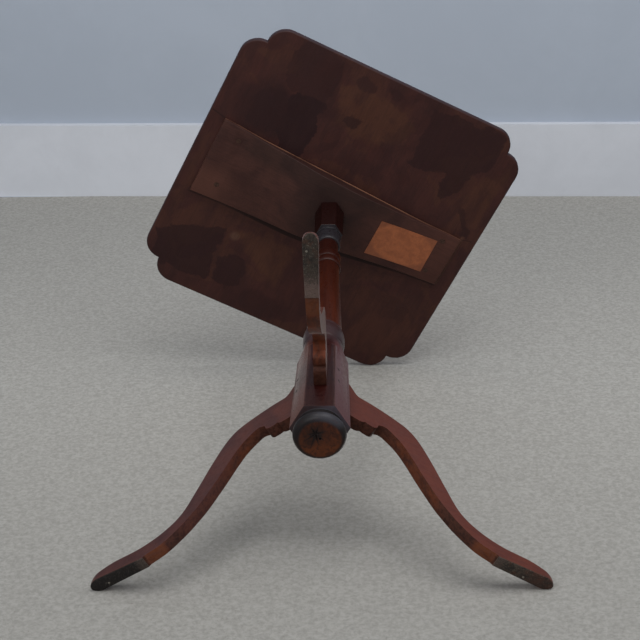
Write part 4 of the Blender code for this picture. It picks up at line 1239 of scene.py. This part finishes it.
def make_pin_finish():
    """Dark end grain under worn varnish."""
    wood = Finish("pin_finish")
    speck = wood.noise(wood.place, 2400.0, 3.0, 0.6)
    cloud = wood.noise(wood.place, 300.0, 3.0)
    colour = wood.mottled(speck, "160d0b", "281813", 0.35, 0.65)
    colour = wood.coat(colour, "120907", wood.between(cloud, 0.4, 0.7, 0.0, 0.5))
    return wood.surface(colour, wood.between(speck, 0.3, 0.7, 0.45, 0.65), speck, 0.00008,
                        Specular_IOR_Level=0.2)


def make_pin(angle, height):
    """One pin across a leg's tenon, planed to the facet beside the leg, with a softened rim."""
    point, normal = facet_plane(math.radians(60), PIN_PROUD)
    bm = bmesh.new()
    bmesh.ops.create_cone(bm, cap_ends=True, segments=32, radius1=PIN_RADIUS, radius2=PIN_RADIUS,
                          depth=PIN_LENGTH)
    bmesh.ops.rotate(bm, verts=bm.verts, matrix=Matrix.Rotation(math.radians(90), 3, "X"))
    bmesh.ops.translate(bm, verts=bm.verts, vec=(PIN_RUN, PIN_OFFSET, height))
    planed(bm, point, normal)
    rim = [edge for edge in bm.edges
           if all(abs((vert.co - point).dot(normal)) < 0.00001 for vert in edge.verts)]
    rounded(bm, rim, PIN_RIM)
    return set_in_place(bm, math.radians(angle))


pin_finish = make_pin_finish()
for name, angle in LEGS:
    for level, height in PIN_HEIGHTS:
        shown(f"{name}_{level}_pin", make_pin(angle, height), pin_finish, [f"pin_{name}_{level}"])

# %% [markdown]
# ## The toe pads' finish
# The pads under the toes are worn grey and mottled, dark in the pits and paler at the heel. The left one is
# the dirtiest, and the right one is rusty at its toe. A small brad holds each, rubbed bright.


# %% Pad finish
def make_pad_finish():
    """Worn, dirty pad: grey with dark pits and pale scratches."""
    pad = Finish("pad_finish")
    x, y, _ = pad.parts(pad.place)
    _, run = pad.from_axis()
    mottle = pad.noise(pad.place, 150.0, 6.0, 0.7, 0.6)
    pits = pad.noise(pad.place, 700.0, 4.0, 0.7)
    rust = pad.noise(pad.place, 95.0, 4.0, 0.6, 0.5)
    colour = pad.mottled(mottle, "1d1815", "40372f", 0.35, 0.65)
    colour = pad.coat(colour, "46291b", pad.between(rust, 0.5, 0.66, 0.0, 0.6))
    colour = pad.coat(colour, "0e0a0b", pad.between(x, 0.0, -0.15, 0.0, 0.9))
    heel = pad.calc("MULTIPLY_ADD", mottle, 0.012, run)
    colour = pad.coat(colour, "4a3e38", pad.between(heel, PAD_HEEL + 0.020, PAD_HEEL + 0.012, 0.0, 0.6))
    far_heel = pad.calc("MULTIPLY_ADD", mottle, 0.060, run)
    pale = pad.between(far_heel, PAD_HEEL + 0.066, PAD_HEEL + 0.038)
    front = pad.times(pad.between(y, -0.10, -0.15), pad.between(pale, 0.0, 1.0, 0.35, 0.7))
    colour = pad.mix(front, colour, pad.mix(pale, tint("1c1512"), tint("5f4d47")))
    colour = pad.coat(colour, "39211a", pad.between(run, 0.255, 0.285), pad.between(x, 0.0, 0.1, 0.0, 0.75),
                      pad.between(mottle, 0.3, 0.6))
    colour = pad.coat(colour, "120f0e", pad.between(pits, 0.56, 0.66, 0.0, 0.8))
    colour = pad.coat(colour, "6b645c", pad.between(pits, 0.42, 0.32, 0.0, 0.7))
    return pad.surface(colour, pad.between(mottle, 0.3, 0.7, 0.55, 0.8), pad.calc("ADD", mottle, pits),
                       0.0003, Specular_IOR_Level=0.25)


def make_brad_finish():
    """Small iron nail rubbed bright."""
    brad = Finish("brad_finish")
    rub = brad.noise(brad.place, 1500.0, 3.0)
    colour = brad.mottled(rub, "6b655d", "989288", 0.35, 0.65)
    return brad.surface(colour, brad.between(rub, 0.3, 0.7, 0.3, 0.5), rub, 0.00005, Metallic=0.9)


pad_finish = make_pad_finish()
brad_finish = make_brad_finish()

# %% [markdown]
# ## The toe pads
# A pad's shape is the toe's own plan, extruded and bevelled, and each brad's domed head is a small spin that
# stands a hair proud of it. The brads sit where the photographed stand shows bright spots.

# %% Pad shape
PAD_SOLE, PAD_TOP, PAD_RIM = 0.0004, 0.0015, 0.0006
BRADS = {"front": (0.284, -0.004), "right": (0.268, 0.004), "left": (0.282, -0.003)}
BRAD_HEAD = ((0, 0), (0.0008, 0.0001), (0.0013, 0.0003), (0.0014, 0.0007), (0, 0.0007))


def make_pad():
    """One pad along +X: the plan of the toe, extruded and softened."""
    bm = bmesh.new()
    runs = [PAD_HEEL + (TOE - PAD_HEEL) * step / 12 for step in range(13)]
    runs += [TOE + TOE_POINT * math.sin(math.radians(angle)) for angle in range(6, 86, 6)]
    side = [(run, leg_half(run)) for run in runs]
    outline = side + [(LEG_REACH, 0.0)] + [(run, -half) for run, half in reversed(side)]
    face = bm.faces.new([bm.verts.new((run, across, PAD_SOLE)) for run, across in outline])
    raised(bm, [face], (0, 0, PAD_TOP - PAD_SOLE))
    bmesh.ops.recalc_face_normals(bm, faces=bm.faces)
    rounded(bm, edges_below(bm, PAD_SOLE + 0.0001), PAD_RIM)
    return bm


def make_brad(run, across):
    """The domed head of a brad, a hair proud of the pad's sole."""
    bm = spun(BRAD_HEAD, 20)
    bmesh.ops.translate(bm, verts=bm.verts, vec=(run, across, 0))
    return bm


pad_shape = make_pad()
for name, angle in LEGS:
    turn = math.radians(angle)
    shown(f"{name}_toe_pad", set_in_place(pad_shape.copy(), turn), pad_finish, [f"toe_pad_{name}"])
    shown(f"{name}_brad", set_in_place(make_brad(*BRADS[name]), turn), brad_finish)
pad_shape.free()

# %% [markdown]
# ## The hidden wedge
# The wedge in the pillar's tenon keeps its CAD shape, since it is hidden between the cleat and the board. It
# still gets a real finish: pale split wood with straight grain.


# %% Wedge finish
def make_wedge_finish():
    """Pale split wood."""
    wood = Finish("wedge_finish", TOP_TURN)
    grain = wood.grained(wood.place, (1, 1, 0.06), 900.0, 5.0, 0.65)
    cloud = wood.noise(wood.place, 200.0, 3.0)
    colour = wood.mottled(grain, "8a6038", "b58a58", 0.35, 0.65)
    colour = wood.coat(colour, "6a4424", wood.between(cloud, 0.5, 0.7, 0.0, 0.4))
    return wood.surface(colour, wood.between(grain, 0.3, 0.7, 0.6, 0.75), grain, 0.0001)


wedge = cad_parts["tenon_wedge"]
wedge_finish = make_wedge_finish()
for material_slot in wedge.material_slots:
    material_slot.material = wedge_finish
print("wedge finished with", len(wedge.material_slots), "slot")

# %% [markdown]
# ## Floor and backdrop
# The stand was photographed lying back: two toes and a lobe of the top touch the floor. In the stand's own
# frame that floor is a leaning plane behind it, with a pale wall and a skirting board beyond. Both are
# stage, and they are drawn from their front only, so that a camera behind them still sees the stand.

# %% Stage
FLOOR_POINT = Vector((0.0, 0.17446, -0.0012))
FLOOR_UP = Vector((0.0, -0.98628, 0.16507))
FLOOR_DEPTH = Vector((0, 0.16507, 0.98628))
FLOOR_WIDTH, FLOOR_LENGTH, FLOOR_BEYOND = 9.0, 5.0, 1.582
WALL_FOOT = Vector((-0.0523, 0.4355, 1.5596))
WALL_ALONG = Vector((0.99924, -0.00642, -0.03838))
WALL_FACE = Vector((-0.03891, -0.16494, -0.98554))
SKIRTING_HEIGHT, SKIRTING_DEPTH = 0.146, 0.018


def stage_finish(name, colours, scale, roughness, fleck=0.0):
    """A plain matt surface with a slight mottle and flecks, with painted shade towards its low end in Z, seen
    from its front only.
    """
    finish = Finish(name)
    mottle = finish.noise(finish.place, scale, 8.0, 0.72, 0.3)
    colour = finish.mottled(mottle, colours[0], colours[1], 0.35, 0.65)
    speck = finish.between(finish.noise(finish.place, 320.0, 4.0, 0.7, 0.4), 0.60, 0.70, 0.0, fleck)
    colour = finish.coat(colour, colours[2], speck)
    # painted shade: darker towards the low end in Z, where less light falls
    near = finish.between(finish.parts(finish.place)[2], 0.65, -0.12, 0.0, 0.22)
    finish.surface(finish.coat(colour, "0e0d0c", near), roughness, Specular_IOR_Level=0.2)
    away = finish.add("NewGeometry").outputs["Backfacing"]
    clear = finish.add("BsdfTransparent").outputs[0]
    split = finish.add("MixShader", {0: away, 1: finish.shader.outputs[0], 2: clear}).outputs[0]
    finish.feed(finish.tree.nodes["Material Output"].inputs["Surface"], split)
    return finish.material


def stage_sheet(name, middle, along, face, size, finish):
    """A flat sheet with its middle, the direction of its length and its facing side."""
    across = face.cross(along).normalized()
    along = across.cross(face).normalized()
    bm = bmesh.new()
    bmesh.ops.create_grid(bm, x_segments=1, y_segments=1, size=0.5)
    turn = Matrix((along, across, face)).transposed().to_4x4()
    bmesh.ops.scale(bm, verts=bm.verts, vec=(size[0], size[1], 1))
    bmesh.ops.transform(bm, verts=bm.verts, matrix=Matrix.Translation(middle) @ turn)
    mesh = mesh_from(name, bm)
    mesh.materials.append(finish)
    sheet = added(name, mesh)
    return sheet


floor_finish = stage_finish("floor_finish", ("8d8b86", "a2a09b", "6f675e"), 170.0, 0.8, 0.5)
wall_finish = stage_finish("wall_finish", ("a3abb7", "a7afbb", "a0a8b4"), 3.0, 0.9)
skirting_finish = stage_finish("skirting_finish", ("c6c9d0", "cbced5", "c2c5cc"), 8.0, 0.6)
floor_middle = FLOOR_POINT + FLOOR_DEPTH * (FLOOR_BEYOND - FLOOR_LENGTH / 2)
backdrop = [
    stage_sheet("floor", floor_middle, Vector((1, 0, 0)), FLOOR_UP, (FLOOR_WIDTH, FLOOR_LENGTH),
                floor_finish),
    stage_sheet("wall", WALL_FOOT + FLOOR_UP * 1.2, WALL_ALONG, WALL_FACE, (FLOOR_WIDTH, 2.6), wall_finish),
    stage_sheet("skirting", WALL_FOOT + FLOOR_UP * 0.072 + WALL_FACE * SKIRTING_DEPTH, WALL_ALONG, WALL_FACE,
                (FLOOR_WIDTH, SKIRTING_HEIGHT), skirting_finish),
    stage_sheet("skirting_top", WALL_FOOT + FLOOR_UP * 0.145 + WALL_FACE * (SKIRTING_DEPTH / 2), WALL_ALONG,
                FLOOR_UP, (FLOOR_WIDTH, SKIRTING_DEPTH), skirting_finish),
]
for sheet in backdrop:
    sheet.visible_shadow = False
lean = math.degrees(math.asin(FLOOR_UP.z))
print("floor leans", round(lean, 1), "degrees from upright in the stand's frame")

# %% [markdown]
# A second, level floor lies under the toes for a camera that looks from above. It is one-sided like the
# others, so the photograph's camera, which looks up from below it, never sees it, and it casts no light.

# %% Level floor
level_floor = stage_sheet("level_floor", Vector((0, 0, -0.0006)), Vector((1, 0, 0)), Vector((0, 0, 1)),
                          (FLOOR_WIDTH, FLOOR_WIDTH), floor_finish)
for ray in ("diffuse", "glossy", "transmission", "shadow"):
    setattr(level_floor, f"visible_{ray}", False)
print("level floor at", level_floor.data.vertices[0].co.z)

# %% [markdown]
# ## The world
# The photograph has soft, even daylight. A pale world gives the even part. Past the backdrop's edges, and in
# whatever the stand mirrors, the world shows as a paler, plain grey.

# %% World
SKY_COLOUR, SKY_STRENGTH = (0.92, 0.96, 1.0, 1), 0.43
SEEN_COLOUR = (0.60, 0.61, 0.62, 1)
world = bpy.data.worlds.new("studio")
bpy.context.scene.world = world
world.use_nodes = True
nodes, links = world.node_tree.nodes, world.node_tree.links
sky = nodes["Background"]
sky.inputs["Color"].default_value = SKY_COLOUR
sky.inputs["Strength"].default_value = SKY_STRENGTH
seen = nodes.new("ShaderNodeBackground")
seen.inputs["Color"].default_value = SEEN_COLOUR
path = nodes.new("ShaderNodeLightPath")
background_ray = path.outputs["Is Camera Ray"]
for ray in ("Is Glossy Ray", "Is Transmission Ray"):
    either = nodes.new("ShaderNodeMath")
    either.operation = "MAXIMUM"
    links.new(background_ray, either.inputs[0])
    links.new(path.outputs[ray], either.inputs[1])
    background_ray = either.outputs[0]
mixed = nodes.new("ShaderNodeMixShader")
for socket, output in zip(mixed.inputs, (background_ray, sky.outputs[0], seen.outputs[0])):
    links.new(output, socket)
links.new(mixed.outputs[0], nodes["World Output"].inputs["Surface"])
print("world has", len(nodes), "nodes")

# %% [markdown]
# ## The lamps
# Two area lamps give the stand direction, a soft shadow on the leaning floor and the sheen on the varnish:
# a large one before it, above the photograph's floor, and a smaller one from the camera's side. Two more
# stand behind the leaning floor, which casts no shadow of its own, and light the back and the top, which the
# photograph hides. The levels are plain, so a colour renders about as it is written.

# %% Lamps
LAMPS = {
    "ceiling_light": ((0.42, -2.4, 0.12), (0, 0.1, 0.3), (2.5, 1.9), 58.0),
    "camera_side_light": ((-0.9, -1.6, -1.6), (0, 0.0, 0.4), (1.6, 1.2), 20.0),
    "back_light": ((0.7, 1.9, 1.7), (0, 0.0, 0.4), (1.6, 1.2), 34.0),
    "top_light": ((-0.6, 1.6, 2.4), (0, 0.0, 0.4), (1.6, 1.2), 34.0),
    "level_light": ((0.0, 0.2, 3.4), (0, 0.2, 0), (3.0, 3.0), 155.0),
}


def softbox(name, place, target, size, power):
    """A large area lamp that faces a target."""
    lamp = bpy.data.lights.new(name, "AREA")
    lamp.shape = "RECTANGLE"
    lamp.size, lamp.size_y = size
    lamp.energy = power
    box = added(name, lamp)
    box.location = place
    box.rotation_euler = (Vector(target) - Vector(place)).to_track_quat("-Z", "Y").to_euler()
    return box


lamps = {name: softbox(name, *settings) for name, settings in LAMPS.items()}
print("lamps:", ", ".join(lamps))

# %% [markdown]
# The ceiling lamp hangs before the stand, level with the legs, and would burn a streak into the level floor.
# Light linking keeps the three lamps that reach that floor off it, and gives it one of its own straight
# above. The lamp from the camera's side lies below it and shines on its undrawn side only.

# %% Light linking
for name in ("ceiling_light", "back_light", "top_light", "level_light"):
    group = bpy.data.collections.new(f"{name}_group")
    group.objects.link(level_floor)
    group.collection_objects[0].light_linking.link_state = "INCLUDE" if name == "level_light" else "EXCLUDE"
    lamps[name].light_linking.receiver_collection = group
print("level floor has the lamp level_light for itself")

# %% [markdown]
# ## Camera
# The photograph was taken from about two metres away, looking up under the top. Its place and lens were
# fitted to the stand's own points, such as the toes, the top's corners and the block's edges.

# %% Camera
CAMERA_PLACE = Vector((0.069763, -1.097343, -1.560648))
CAMERA_RIGHT = Vector((0.9993748, 0.0248272, 0.0251700))
CAMERA_DOWN = Vector((-0.0087157, 0.8629771, -0.5051679))
CAMERA_FORWARD = Vector((-0.0342631, 0.5046328, 0.8626539))
view = bpy.data.cameras.new("camera")
view.lens = 97.81
view.sensor_width = 36.0
view.clip_start, view.clip_end = 0.05, 50.0
camera = added("camera", view)
turn = Matrix((CAMERA_RIGHT, -CAMERA_DOWN, -CAMERA_FORWARD)).transposed().to_4x4()
camera.matrix_world = Matrix.Translation(CAMERA_PLACE) @ turn
bpy.context.scene.camera = camera
bpy.context.scene.view_settings.view_transform = "Standard"
print("camera looks at the stand from", round((camera.location - Vector((0, 0, 0.34))).length, 2), "m")
